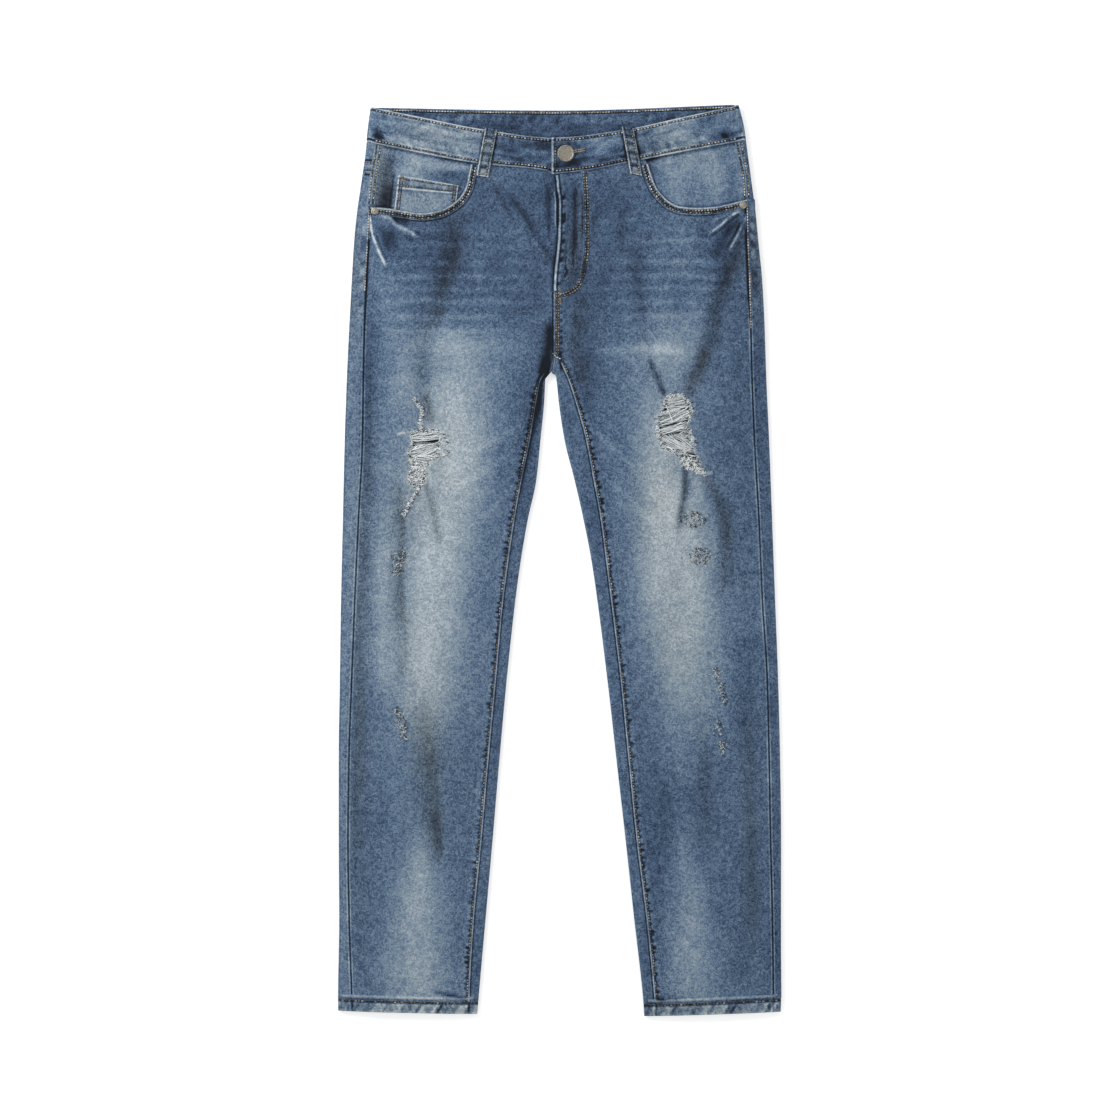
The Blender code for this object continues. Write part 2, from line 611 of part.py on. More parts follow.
def fly_strip(name, span, foot, depth, thickness, finish):
    """A strip behind the fly, from the waistband's seam to its foot."""
    def point(offset, share):
        drop = lerp(FLY_TOP, foot, share)
        return top_point(fly_edge(drop) + offset, drop, -depth)

    rows = [[point(lerp(*span, u / 3), share / 7) for u in range(4)] for share in range(8)]
    sheet(name, rows, thickness, finish)


def belt_loop(name, loop):
    """A front belt loop over the waistband, sewn down at both ends."""
    rows = []
    for share in np.linspace(0, 1, 8):
        x, drop = lerp(loop.x0, loop.x1, share), lerp(loop.drop0, loop.drop1, share)
        stand = BAND_PROUD + GAP + LOOP_CLOTH + 0.5 * math.sin(math.pi * share)
        rows.append([top_point(x + across * LOOP_WIDTH / 2, drop, stand) for across in (-1, 0, 1)])
    sheet(f"belt_loop_{name}", rows, LOOP_CLOTH, "denim_band")


def back_belt_loop(name, x):
    """A belt loop on the underside, flat against the surface the jeans lie on."""
    top = back_top(x)
    rows = [[(x + across * LOOP_WIDTH / 2, drop, 0.0) for across in (-1, 0, 1)]
            for drop in np.linspace(top + 1, back_seam(x) + BACK_LOOP_TAIL, 5)]
    sheet(f"belt_loop_{name}", rows, LOOP_CLOTH, "denim_band", faces_up=False)


# ---------------------------------------------------------------- metal pieces

def button():
    """A tack button: a dished cap on a shank that passes through the buttonhole."""
    surface = top_height(BUTTON_X, BUTTON_DROP) + BAND_PROUD
    shank = BAND_CLOTH + LAP_GAP - GAP
    profile = [(0, 2.2), (6.9, 2.3), (7.7, 2.8), (8.7, 2.7), (BUTTON_RADIUS, 1.9),
               (BUTTON_RADIUS, 1.0), (8.4, GAP + 0.1), (SHANK_RADIUS, GAP + 0.1),
               (SHANK_RADIUS, -shank), (0, -shank)]
    turned("button", profile, (BUTTON_X, BUTTON_DROP, surface), 24, "button_metal")


def rivet(side):
    """A domed rivet with a raised nipple at the side end of a pocket mouth."""
    x, drop = RIVETS[side]
    profile = [(0, 2.1), (1.0, 2.0), (1.4, 1.5), (2.8, 1.5), (3.8, 1.1), (RIVET_RADIUS, 0.5),
               (RIVET_RADIUS, GAP), (0, GAP)]
    surface = max(top_height(x + dx, drop) for dx in (-RIVET_RADIUS, 0, RIVET_RADIUS))
    turned(f"rivet_{side}", profile, (x, drop, surface), 16, "rivet_metal")


# ---------------------------------------------------------------- the whole garment

def build():
    for old in list(bpy.data.objects):
        bpy.data.objects.remove(old, do_unlink=True)
    collection(COLLECTION)
    collection(CUTTERS)
    for side in SIGN:
        front_panel(side)
        back_panel(side)
        back_yoke(side)
        pocket_facing(side)
        back_pocket(side)
        hem(side)
        rivet(side)
        belt_loop(f"front_{side}", FRONT_LOOPS[side])
    for name, x in BACK_LOOPS.items():
        back_belt_loop(name, x)
    coin_pocket()
    zip_depth = CLOTH + GAP
    underlap_depth = zip_depth + ZIP_CLOTH + GAP
    fly_strip("fly_zip", ZIP_SPAN, FLY_FOOT - 6, zip_depth, ZIP_CLOTH, "zip_tape")
    fly_strip("fly_underlap", UNDERLAP_SPAN, FLY_FOOT, underlap_depth, CLOTH, "denim_back")
    waistband()
    button()


build()
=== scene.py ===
"""Ripped slim jeans laid flat: the finished cloth, stitching, torn patches and metal on the CAD frame.

Every piece is worked out in millimetres as (x, drop, z), where drop is the distance below the top of
the back waistband, and world() turns that into the frame's metres. The cloth follows the same ring
sections as the CAD solids: a crowned top side, rounded folds at the edges and a flat underside.
"""
import functools
import math
from collections import namedtuple

import bpy
import numpy as np
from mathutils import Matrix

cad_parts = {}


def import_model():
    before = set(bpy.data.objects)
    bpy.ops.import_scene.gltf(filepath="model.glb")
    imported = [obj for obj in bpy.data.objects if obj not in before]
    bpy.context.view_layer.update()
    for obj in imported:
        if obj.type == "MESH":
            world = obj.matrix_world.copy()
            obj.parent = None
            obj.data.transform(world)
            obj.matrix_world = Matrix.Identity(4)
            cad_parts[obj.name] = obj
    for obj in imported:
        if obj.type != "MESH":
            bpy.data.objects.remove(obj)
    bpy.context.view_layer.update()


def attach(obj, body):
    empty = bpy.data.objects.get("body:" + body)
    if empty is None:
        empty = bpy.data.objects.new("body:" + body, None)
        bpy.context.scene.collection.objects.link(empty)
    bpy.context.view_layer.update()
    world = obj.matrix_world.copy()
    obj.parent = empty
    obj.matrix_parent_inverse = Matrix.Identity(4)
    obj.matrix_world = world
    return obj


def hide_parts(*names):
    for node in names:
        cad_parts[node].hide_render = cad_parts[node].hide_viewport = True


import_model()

LENGTH, CENTRE = 1000.5, -0.5
CLOTH, BAND_CLOTH, HEM_CLOTH, LOOP_CLOTH = 1.1, 1.9, 2.0, 1.5
BAND_PROUD = 0.4
FOLD_RADIUS, BAND_FOLD_RADIUS = 2.7, 3.3
CROWN_REACH = 60.0
CROTCH_X, CROTCH_DROP, JUNCTION_DROP = -9.6, 295.0, 276.0
CENTRE_BACK_X = -5.0
BLEND_DROP = 150.0
YOKE_SIDE_DROP, YOKE_CENTRE_DROP = 70.0, 108.0
LAP_LENGTH, LAP_GAP = 38.0, 0.5
BUTTON_X, BUTTON_DROP, BUTTON_RADIUS = 6.4, 55.0, 9.3
GAP, HALF_GAP = 0.3, 0.15  # clearance between neighbouring pieces, and half of it
PANEL_HEAD, PANEL_FOOT = 60.0, 984.0    # about where the front panels start and end
WAIST_SEAM_DROP = 43.0    # the waistband's seam at the side seams
BAND_DROP = 20.0          # about the middle of the waistband at the side seams
BAND_FLAT_MARGIN = 9.0    # the band's flat faces stop this far from its folded edges
FLY_TOP, FLY_FOOT = 79.0, 205.0
TUCK, FACING_END = 9.0, 0.56    # how far a facing runs on under the front panel, and where it ends
RIVET_RADIUS = 4.2
HEM_STITCH = 1.2          # the hem's stitching below its top edge
SIGN = {"right": -1, "left": 1}

Edge = namedtuple("Edge", "drop silhouette outseam")
Inner = namedtuple("Inner", "drop silhouette inseam")
# A soft patch of lighter (+) or darker (-) cloth; lean moves its middle sideways per unit of drop.
Patch = namedtuple("Patch", "x drop across along lean tone")
# A crease or fold along a path, its width on each side, height, tone and greyness; a dark tone is painted
# shade in the fold, and the greyness is the grey-green of that painted shade.
Crease = namedtuple("Crease", "path left right height tone ash")
Hem = namedtuple("Hem", "top_outer top_inner foot_outer foot_inner")
Scuff = namedtuple("Scuff", "x drop across along lean threads")

OUTER = {
    "right": [Edge(*row) for row in (
        (0, -207.4, -194.0), (26, -211.0, -196.5), (52, -213.3, -199.5),
        (83, -217.7, -204.5), (117, -222.7, -207.8), (149, -226.0, -209.5),
        (193, -228.6, -212.0), (237, -231.0, -214.0), (298, -234.0, -215.5),
        (368, -236.5, -216.5), (456, -238.5, -221.0), (544, -240.5, -225.0),
        (631, -241.8, -228.4), (719, -243.0, -231.5), (807, -243.0, -232.5),
        (895, -242.5, -231.2), (982, -243.8, -228.3), (1001, -243.4, -228.0),
    )],
    "left": [Edge(*row) for row in (
        (0, 196.0, 189.0), (26, 202.3, 193.0), (52, 205.8, 198.0),
        (83, 210.0, 203.5), (117, 214.6, 205.3), (149, 217.7, 206.0),
        (193, 222.0, 207.8), (237, 224.4, 209.0), (298, 226.5, 210.5),
        (368, 229.7, 213.3), (456, 233.0, 218.2), (544, 236.3, 222.0),
        (631, 239.6, 227.3), (719, 241.8, 229.4), (807, 242.9, 231.0),
        (895, 242.8, 233.0), (982, 242.8, 234.0), (1001, 242.4, 234.0),
    )],
}
INNER = {
    "right": [Inner(*row) for row in (
        (276, -5.2, -7.2), (286, -7.2, -10.8), (294, -9.8, -15.2),
        (297, -15.2, -18.2), (302, -16.2, -21.4), (324, -17.2, -26.0),
        (368, -21.5, -33.5),
        (412, -26.0, -42.5), (456, -35.5, -50.5), (500, -43.0, -57.0),
        (544, -49.0, -62.7), (631, -58.5, -70.7), (719, -66.5, -79.0),
        (807, -74.0, -86.6), (895, -81.8, -95.0), (982, -89.5, -99.8),
        (1001, -91.0, -100.0),
    )],
    "left": [Inner(*row) for row in (
        (276, -4.8, -2.8), (286, -6.8, 2.6), (294, -9.4, 6.2),
        (297, -4.6, 7.5), (302, -3.8, 9.6), (324, -1.6, 17.0),
        (368, 5.0, 29.0),
        (412, 16.0, 37.3), (456, 26.0, 45.3), (500, 34.5, 51.0),
        (544, 41.0, 56.5), (631, 52.0, 67.0), (719, 62.0, 75.7),
        (807, 72.0, 84.6), (895, 81.6, 95.6), (982, 91.3, 104.2),
        (1001, 92.6, 105.6),
    )],
}
FLY_EDGE = [(30, -8.0), (62, -7.2), (87, -2.4), (108, 1.2), (145, 0.0), (200, -4.8), (276, -5.0)]
FRONT_TOP = [(-207, 3.3), (-145, 16.5), (-83, 28.5), (-8, 37.3), (68, 29.0), (132, 15.5), (196, 1.1)]
BACK_TOP = [(-207, 3.3), (-5, 6.5), (196, 0.0)]
BAND_SEAM = {
    "right": [(-213, 41.5), (-150, 55.0), (-90, 65.8), (-14, 74.0), (-7, 78.3), (40, 78.5)],
    "left": [(-10, 78.0), (30, 73.5), (75, 64.7), (140, 52.0), (206, 39.3)],
}
BACK_SEAM = [(-213, 41.5), (-5, 46.5), (206, 39.3)]
MOUTH = {
    "right": [(0, 113), (0.09, 115), (0.18, 118), (0.27, 120.3), (0.36, 117.5), (0.44, 108.5),
              (0.50, 93), (0.535, 66.5)],
    "left": [(0, 104.5), (0.06, 108), (0.12, 111), (0.18, 113.3), (0.27, 114.4), (0.36, 113),
             (0.42, 107.5), (0.464, 97.5), (0.487, 88.5), (0.505, 66)],
}
MOUTH_END = {"right": 0.535, "left": 0.505}
MOUTH_STEEP = {"right": 0.50, "left": 0.464}
UNDERSIDE = [(0, 2.0), (75, 2.0), (104, 1.5), (262, 1.5), (330, 0.0), (1001, 0.0)]
TOP_MIDDLE = [(0, 13.0), (110, 12.9), (200, 12.2), (300, 10.8), (420, 10.2), (800, 9.9),
              (1001, 9.7)]
HEMS = {"right": Hem(981.5, 985.0, 994.5, 998.0), "left": Hem(981.5, 987.5, 995.5, 1000.5)}
FRONT_LOOPS = {"right": ((-75.3, 28.0), (-85.0, 80.0)), "left": ((74.0, 26.8), (83.4, 78.0))}
BACK_LOOPS = {"side_right": -150.0, "back": CENTRE_BACK_X, "side_left": 140.0}
LOOP_WIDTH = 13.0
COIN_WIDTH, COIN_DEPTH = 67, 37
COIN_POCKET = ((-177.0, 78.0), (-111.0, 89.4), (-115.0, 118.0), (-182.5, 124.0))
BACK_POCKETS = {"right": -108.0, "left": 98.0}
RIVETS = {"right": (-203.0, 117.6), "left": (200.4, 111.0)}
TEARS = {
    "right": ((-164, 360), (-149, 357.5), (-133, 361), (-131, 375), (-139, 388), (-147, 399),
              (-148.5, 414), (-157, 419), (-166, 410), (-163, 397), (-166, 385), (-162, 373)),
    "left": ((116, 322), (128, 320), (141, 328), (143.5, 339), (138, 358), (145, 375), (151.5, 390),
             (157, 404), (146, 401), (135, 396), (130.5, 385), (113.5, 377), (106, 352), (112, 334)),
}

# Fades and dark places of the wash, in both legs and over the hips; the dark patch at x 30, drop 284 is
# painted shade by the crotch.
PATCHES = [Patch(*row) for row in (
    (-60, 205, 40, 60, 0, -0.03), (60, 160, 70, 70, 0, -0.03),
    (-18, 190, 34, 90, 0, -0.06), (18, 130, 12, 52, 0, -0.12),
    (-121, 262, 46, 22, 0, 0.26), (-84, 268, 40, 12, 0, 0.10),
    (-192, 215, 20, 60, 0, 0.08), (-186, 149, 9, 15, 0, -0.18),
    (-113, 372, 37, 78, -0.05, 0.38), (-131, 484, 42, 84, -0.10, 0.36),
    (-192, 470, 15, 90, 0.0, 0.17), (-146, 585, 44, 58, -0.12, 0.28),
    (-158, 642, 30, 40, 0, 0.10), (-190, 340, 20, 60, 0, 0.06),
    (-153, 829, 14, 34, 0, 0.20), (-155, 873, 23, 42, 0, 0.20),
    (-162, 958, 36, 56, 0, 0.24), (-70, 430, 22, 120, -0.2, -0.05),
    (-100, 580, 14, 120, -0.12, -0.06), (-110, 760, 20, 100, 0, -0.04),
    (110, 268, 44, 12, 0, 0.14), (134, 240, 26, 12, 0, 0.14),
    (128, 280, 28, 32, 0, 0.16), (104, 352, 28, 62, 0.1, 0.24),
    (118, 430, 30, 56, 0.1, 0.32), (137, 505, 42, 74, 0.05, 0.36),
    (135, 590, 34, 58, 0, 0.29), (132, 656, 30, 44, 0, 0.18),
    (135, 725, 12, 20, 0, 0.10), (135, 812, 12, 30, 0, 0.18),
    (141, 862, 18, 36, 0, 0.20), (143, 911, 24, 40, 0, 0.18),
    (143, 958, 28, 38, 0, 0.20), (192, 133, 9, 11, 0, -0.16),
    (196, 300, 26, 90, -0.1, -0.08), (200, 480, 22, 130, 0, -0.07),
    (205, 880, 26, 90, 0, -0.07), (46, 480, 12, 90, 0.15, -0.06),
    (-135, 150, 48, 46, 0, -0.12), (-212, 250, 13, 95, 0, -0.13),
    (-168, 306, 15, 24, 0, 0.16), (-100, 298, 26, 18, 0, 0.15),
    (-203, 525, 15, 85, -0.02, 0.12), (-150, 495, 14, 34, 0, 0.08),
    (-140, 655, 36, 36, 0, 0.14), (-192, 620, 10, 40, 0, 0.11),
    (-132, 905, 24, 80, -0.10, 0.08), (-172, 880, 10, 40, 0, 0.07),
    (-32, 350, 16, 80, -0.10, -0.10), (-40, 100, 60, 26, 0, -0.08),
    (28, 240, 20, 80, 0, -0.08), (14, 195, 10, 26, 0, -0.10),
    (176, 160, 20, 52, -0.02, -0.16), (60, 100, 60, 26, 0, -0.08),
    (122, 778, 26, 50, 0, -0.12), (106, 880, 12, 80, 0, -0.10),
    (233, 930, 12, 60, 0, -0.10), (98, 512, 16, 48, 0.05, 0.12),
    (36, 320, 14, 50, 0.10, -0.10), (98, 690, 14, 60, 0, -0.06),
    (-72, 180, 50, 110, 0, -0.05), (60, 170, 34, 100, 0, -0.06),
    (206, 118, 9, 18, 0, -0.08), (-148, 316, 42, 36, 0, 0.10),
    (-178, 420, 14, 60, 0, 0.09), (-140, 600, 50, 110, 0, 0.07),
    (-192, 545, 12, 50, 0, 0.06), (-106, 640, 14, 60, 0, 0.05),
    (102, 505, 18, 80, 0, 0.08), (163, 420, 16, 16, 0, 0.10),
    (170, 516, 16, 24, 0, -0.08), (162, 650, 18, 50, 0, 0.07),
    (205, 655, 12, 50, 0, -0.07), (-150, 930, 32, 70, 0, 0.06),
    (-210, 905, 12, 60, 0, -0.06), (-10, 236, 12, 26, 0, 0.08),
    (80, 384, 16, 20, 0, -0.05), (-88, 840, 12, 80, -0.1, 0.06),
    (-200, 190, 12, 28, 0, 0.10), (100, 248, 22, 42, 0, 0.08),
    (-213, 310, 9, 60, 0, -0.09), (30, 284, 14, 20, 0, -0.04),
    (-128, 325, 28, 26, 0, 0.07), (-160, 428, 12, 22, 0, 0.10),
    (152, 428, 9, 20, 0, 0.08), (192, 192, 8, 20, 0, 0.07),
    (-8, 92, 14, 22, 0, -0.08), (-172, 668, 10, 24, 0, 0.07),
    (216, 170, 9, 56, 0.05, -0.05), (140, 820, 40, 80, 0, -0.04),
)]

# Folds and creases of the top side, from the waist down: real relief, and painted shade where their tone is
# dark. left and right are as seen from above.
CREASES = [Crease(*row) for row in (
    (((-110, 112), (-115, 135), (-115, 155), (-118, 176), (-127, 198), (-131, 220),
            (-140, 242), (-148, 266), (-149, 300), (-150, 325), (-144, 347)), 13, 9, -2.0, -0.17, 0.36),
    (((-180, 404), (-175, 430), (-172, 455), (-172, 500), (-173, 544), (-176, 590)),
           11, 3.4, -1.8, -0.24, 0.60),
    (((-148, 316), (-143.5, 333), (-140, 353)), 5, 4.5, -0.8, -0.24, 0.7),
    (((-170, 545), (-169, 575), (-172, 635)), 5, 4, -0.7, -0.13, 0.40),
    (((-149, 411), (-143, 432), (-136, 464), (-131, 490)), 2.5, 5, -0.8, -0.24, 0.60),
    (((-148, 650), (-142, 719), (-136, 785), (-131, 842)), 15, 8, -1.2, -0.11, 0.50),
    (((-134, 770), (-133, 805), (-131, 834)), 8, 3, -1.2, -0.16, 0.25),
    (((-205, 303), (-208, 368), (-213, 456), (-217, 544), (-220, 631), (-222, 719),
            (-223, 807), (-222, 900)), 6, 12, -0.8, -0.15, 0.30),
    (((-200, 128), (-194, 145), (-187, 163)), 4.5, 4.0, -1.0, -0.17, 0.0),
    (((-191, 136), (-182, 151), (-172, 168)), 4.5, 4.0, -0.8, -0.12, 0.0),
    (((-186, 124), (-178, 127), (-164, 131)), 3.0, 2.6, -0.6, -0.34, 0.0),
    (((-60, 96), (-43, 118), (-27, 143), (-14, 166), (-8, 186)), 3.0, 6.0, -1.2, -0.20, 0.1),
    (((-72, 86), (-62, 108), (-50, 130)), 3.0, 5.0, -0.7, -0.12, 0.1),
    (((-13, 84), (-13, 120), (-11, 153)), 2.2, 2.8, -0.9, -0.24, 0.0),
    (((17, 82), (17, 120), (16, 172)), 3.0, 2.6, -1.0, -0.30, 0.0),
    (((20.5, 88), (20.8, 120), (19.5, 165)), 1.8, 1.8, 0.4, 0.16, 0.5),
    (((24.9, 96), (25, 120), (24.5, 150)), 1.4, 1.4, -0.5, -0.22, 0.2),
    (((43, 106), (37, 130), (32, 165)), 2.0, 4.0, -0.7, -0.14, 0.0),
    (((66, 110), (67, 140), (70, 175)), 4.0, 7.0, -0.6, -0.09, 0.1),
    (((26, 208), (20, 236), (17, 262), (21, 290), (29, 318)), 9, 9, -0.8, -0.09, 0.32),
    # The next two are the painted shadow of the crotch, where the legs part.
    (((-10, 232), (-10.5, 250), (-12, 268), (-14, 286), (-15, 312)), 7, 5, -1.2, -0.46, 0.2),
    (((-17, 276), (-20, 300), (-22, 322), (-25, 350)), 6, 6, -0.6, -0.26, 0.2),
    (((0.5, 270), (0.5, 280), (1.5, 296)), 1.4, 1.4, -0.6, -0.55, 0.0),
    (((-20, 300), (-26, 335), (-34, 380), (-44, 428)), 8, 3.0, -1.2, -0.22, 0.1),
    (((190, 128), (177, 154), (167, 178)), 4.5, 4.5, -0.9, -0.20, 0.0),
    (((203, 130), (196, 152), (189, 176), (180, 198), (172, 220), (167, 242), (162, 264),
            (155, 286), (143, 308), (137, 328)), 9, 11, -1.9, -0.20, 0.32),
    (((83, 146), (85, 189), (92, 240), (99, 286)), 9, 8, -1.2, -0.13, 0.15),
    (((97, 274), (103, 290), (110, 306), (118, 326)), 3.8, 2.6, -1.6, -0.42, 0.5),
    (((137.5, 384), (137, 402), (136.5, 423), (133, 446), (129, 472)), 2.6, 4.4, -2.2, -0.60, 0.60),
    (((148, 388), (158, 404), (169, 428), (177, 448), (181, 477), (181, 502), (176, 545)), 7, 10,
           -1.9, -0.26, 0.45),
    (((160, 262), (153, 284), (146, 302), (139, 318), (132, 336)), 6, 7, -1.0, -0.17, 0.45),
    (((152, 640), (158, 700), (160, 820)), 10, 10, -0.9, -0.06, 0.2),
    (((206, 640), (210, 760), (212, 860), (213, 960)), 12, 6, -0.6, -0.08, 0.30),
    (((16, 300), (24, 335), (34, 380), (46, 430)), 2.5, 7, -0.8, -0.10, 0.0),
    (((-100, 382), (-70, 367), (-38, 349)), 3, 4, 0.5, 0.15, 0.0),
    (((-112, 420), (-84, 402), (-50, 380)), 3, 4, 0.5, 0.11, 0.0),
    (((-92, 462), (-70, 440), (-50, 414)), 3, 4, 0.5, 0.10, 0.0),
    (((28, 350), (58, 378), (92, 408)), 3, 4, 0.5, 0.17, 0.0),
    (((56, 414), (84, 442), (110, 468)), 3, 4, 0.4, 0.14, 0.0),
    (((36, 272), (90, 269), (143, 273)), 4, 5, 0.4, 0.16, 0.0),
    (((-140, 972.5), (-120, 977), (-101, 981)), 2.0, 2.4, -0.6, -0.50, 0.1),
    (((101, 980), (112, 981.5), (121, 979.5), (132, 981)), 1.8, 2.2, -0.5, -0.52, 0.1),
)]
# Crisp worn creases: path, tone of the ridge and of the shade beside it (positive to its left).
Ridge = namedtuple("Ridge", "path tone shade width")
RIDGES = [Ridge(*row) for row in (
    (((-208, 120), (-206.3, 139), (-201.5, 154), (-196, 167), (-189, 181)), 0.84, 0.14, 1.5),
    (((-201, 122), (-186, 126), (-180, 133), (-169, 138), (-159, 144), (-150, 150)), 0.50, 0.20, 2.2),
    (((-172, 150), (-162, 156), (-150, 160)), 0.14, -0.10, 1.6),
    (((200, 116), (188, 122.5), (175, 134), (159, 146)), 0.62, 0.16, 1.5),
    (((205, 121), (200.5, 131.5), (193, 147), (183, 164)), 0.58, -0.16, 1.3),
    (((190, 119), (176, 125), (162, 132)), 0.20, 0.12, 1.6),
    (((9.5, 164), (8, 175), (10.5, 184), (6.5, 192), (3, 199)), 0.12, -0.24, 1.1),
    (((18, 158), (16.5, 168), (17, 178), (13, 190)), 0.10, -0.20, 1.1),
)]
# Whiskers: ragged pale lines of wear across each hip, as drop, first x, last x and tone.
Whisker = namedtuple("Whisker", "drop x0 x1 tone")
WHISKERS = [Whisker(*row) for row in (
    (137, -182, -118, 0.10), (143, -106, -40, 0.08), (156, -196, -28, 0.10),
    (165, -190, -60, 0.07), (175, -200, -22, 0.12), (190, -204, -24, 0.13),
    (203, -206, -22, 0.10), (217, -206, -30, 0.15), (234, -206, -40, 0.13),
    (250, -200, -40, 0.09), (284, -196, -60, 0.05),
    (140, 92, 150, 0.06), (151, 60, 178, 0.12), (162, 74, 160, 0.07),
    (173, 44, 190, 0.12), (190, 44, 196, 0.14), (203, 40, 190, 0.10),
    (217, 36, 200, 0.10), (233, 50, 196, 0.10), (250, 60, 180, 0.06),
)]
SCUFFS = [Scuff(*row) for row in (
    (-177, 503, 10, 13, -0.3, 60), (-174, 679, 5, 19, 0.25, 55),
    (146, 454, 15, 8, 0.0, 60), (154, 495, 14, 9, 0.0, 60),
    (175, 637, 6, 21, 0.25, 45), (176, 694, 5, 19, 0.15, 40),
)]
# Places where the wash turns grey-green.
Grey = namedtuple("Grey", "x drop across along amount")
GREYS = [Grey(*row) for row in (
    (-142, 690, 22, 60, 0.30), (130, 560, 30, 90, 0.30), (-150, 600, 30, 70, 0.20),
    (-225, 500, 12, 300, 0.15), (112, 430, 26, 60, 0.42), (-128, 400, 30, 70, 0.34),
    (-164, 440, 12, 40, 0.30), (0, 992, 260, 9, 0.55), (-140, 36, 56, 24, 0.35),
    (118, 46, 34, 22, 0.35), (-148, 104, 34, 20, 0.30), (218, 160, 12, 70, 0.35),
    (-228, 170, 12, 80, 0.30), (-80, 54, 9, 26, 0.40), (79, 52, 9, 26, 0.40),
    (14, 165, 12, 36, 0.30),
)]
# Lines of fray that run on from the torn holes.
FRAYS = [
    ((-160, 323), (-151, 338), (-153.5, 350), (-152, 358)), ((-153, 419), (-162, 432), (-172, 451)),
    ((-137, 358), (-126, 366), (-124, 372)), ((-138, 388), (-128, 384), (-122, 380)),
    ((117, 321), (128, 319), (141, 327), (145, 338)), ((141, 356), (148, 374)),
    ((148, 396), (157, 405), (158, 408)), ((106, 352), (108, 366), (114, 378)),
]

# Around each torn place the cloth is made on a finer grid: left, right, top and foot.
TEAR_WINDOWS = {"right": (-176, -120, 350, 428), "left": (98, 166, 312, 412)}
BASE_TONE = 0.41          # mid indigo after washing
BACK_TONE = 0.40          # the underside


# ---------------------------------------------------------------- curves and noise

def curve(points):
    """Return a vectorised curve through a few points that never swings past them."""
    xs, ys = np.array(points, float).T
    slopes = np.diff(ys) / np.diff(xs)
    tangents = np.zeros(len(xs))
    tangents[0], tangents[-1] = slopes[0], slopes[-1]
    for i in range(1, len(xs) - 1):
        if slopes[i - 1] * slopes[i] > 0:
            tangents[i] = 2 * slopes[i - 1] * slopes[i] / (slopes[i - 1] + slopes[i])

    def value(x):
        x = np.asarray(x, float)
        i = np.clip(np.searchsorted(xs, x) - 1, 0, len(xs) - 2)
        span = xs[i + 1] - xs[i]
        t = np.clip((x - xs[i]) / span, 0.0, 1.0)
        m, n = tangents[i] * span, tangents[i + 1] * span
        return ((2 * t**3 - 3 * t**2 + 1) * ys[i] + (t**3 - 2 * t**2 + t) * m
                + (3 * t**2 - 2 * t**3) * ys[i + 1] + (t**3 - t**2) * n)

    return value


def ease(t):
    t = np.clip(t, 0.0, 1.0)
    return t * t * (3 - 2 * t)


def lerp(a, b, t):
    return a + (b - a) * t


def bell(distance, width):
    return np.exp(-(distance / width)**2)


def noise_line(s, size, seed):
    """Smooth random values from -1 to 1 along a line, with features of the given size."""
    values = np.random.RandomState(seed).uniform(-1, 1, 4096)
    u = np.asarray(s, float) / size + 64
    i = np.floor(u).astype(int)
    return lerp(values[i % 4096], values[(i + 1) % 4096], ease(u - i))


def noise_plane(x, y, size, seed):
    """Smooth random values from -1 to 1 over the cloth."""
    values = np.random.RandomState(seed).uniform(-1, 1, (256, 256))
    u, v = np.asarray(x) / size + 128, np.asarray(y) / size + 128
    i, j = np.floor(u).astype(int), np.floor(v).astype(int)
    a, b = ease(u - i), ease(v - j)
    i, j, k, l = i % 256, j % 256, (i + 1) % 256, (j + 1) % 256
    return lerp(lerp(values[i, j], values[k, j], a), lerp(values[i, l], values[k, l], a), b)


outer_edge = {side: curve([(r.drop, r.silhouette) for r in OUTER[side]]) for side in OUTER}
outseam = {side: curve([(r.drop, r.outseam) for r in OUTER[side]]) for side in OUTER}
inner_edge = {side: curve([(r.drop, r.silhouette) for r in INNER[side]]) for side in INNER}
inseam = {side: curve([(r.drop, r.inseam) for r in INNER[side]]) for side in INNER}
fly_edge, front_top, back_top = curve(FLY_EDGE), curve(FRONT_TOP), curve(BACK_TOP)
back_seam = curve(BACK_SEAM)
band_seam = {side: curve(points) for side, points in BAND_SEAM.items()}
mouth = {side: curve(points) for side, points in MOUTH.items()}
underside, top_middle = curve(UNDERSIDE), curve(TOP_MIDDLE)
LAP_X = fly_edge(BUTTON_DROP)    # beside the end of the waistband that laps over the other


# ---------------------------------------------------------------- the cloth's surface

def inset(x, drop):
    """How far a point lies in from the nearest edge of the garment."""
    sides = np.minimum(x - outer_edge["right"](drop), outer_edge["left"](drop) - x)
    hips = np.minimum(sides, np.hypot(x - CROTCH_X, CROTCH_DROP - drop))
    on_right = x < np.where(drop < 330, CROTCH_X, -8.0)
    inner = np.where(on_right, inner_edge["right"](drop) - x, x - inner_edge["left"](drop))
    return np.maximum(np.where(drop < CROTCH_DROP, hips, np.minimum(sides, inner)), 0.0)


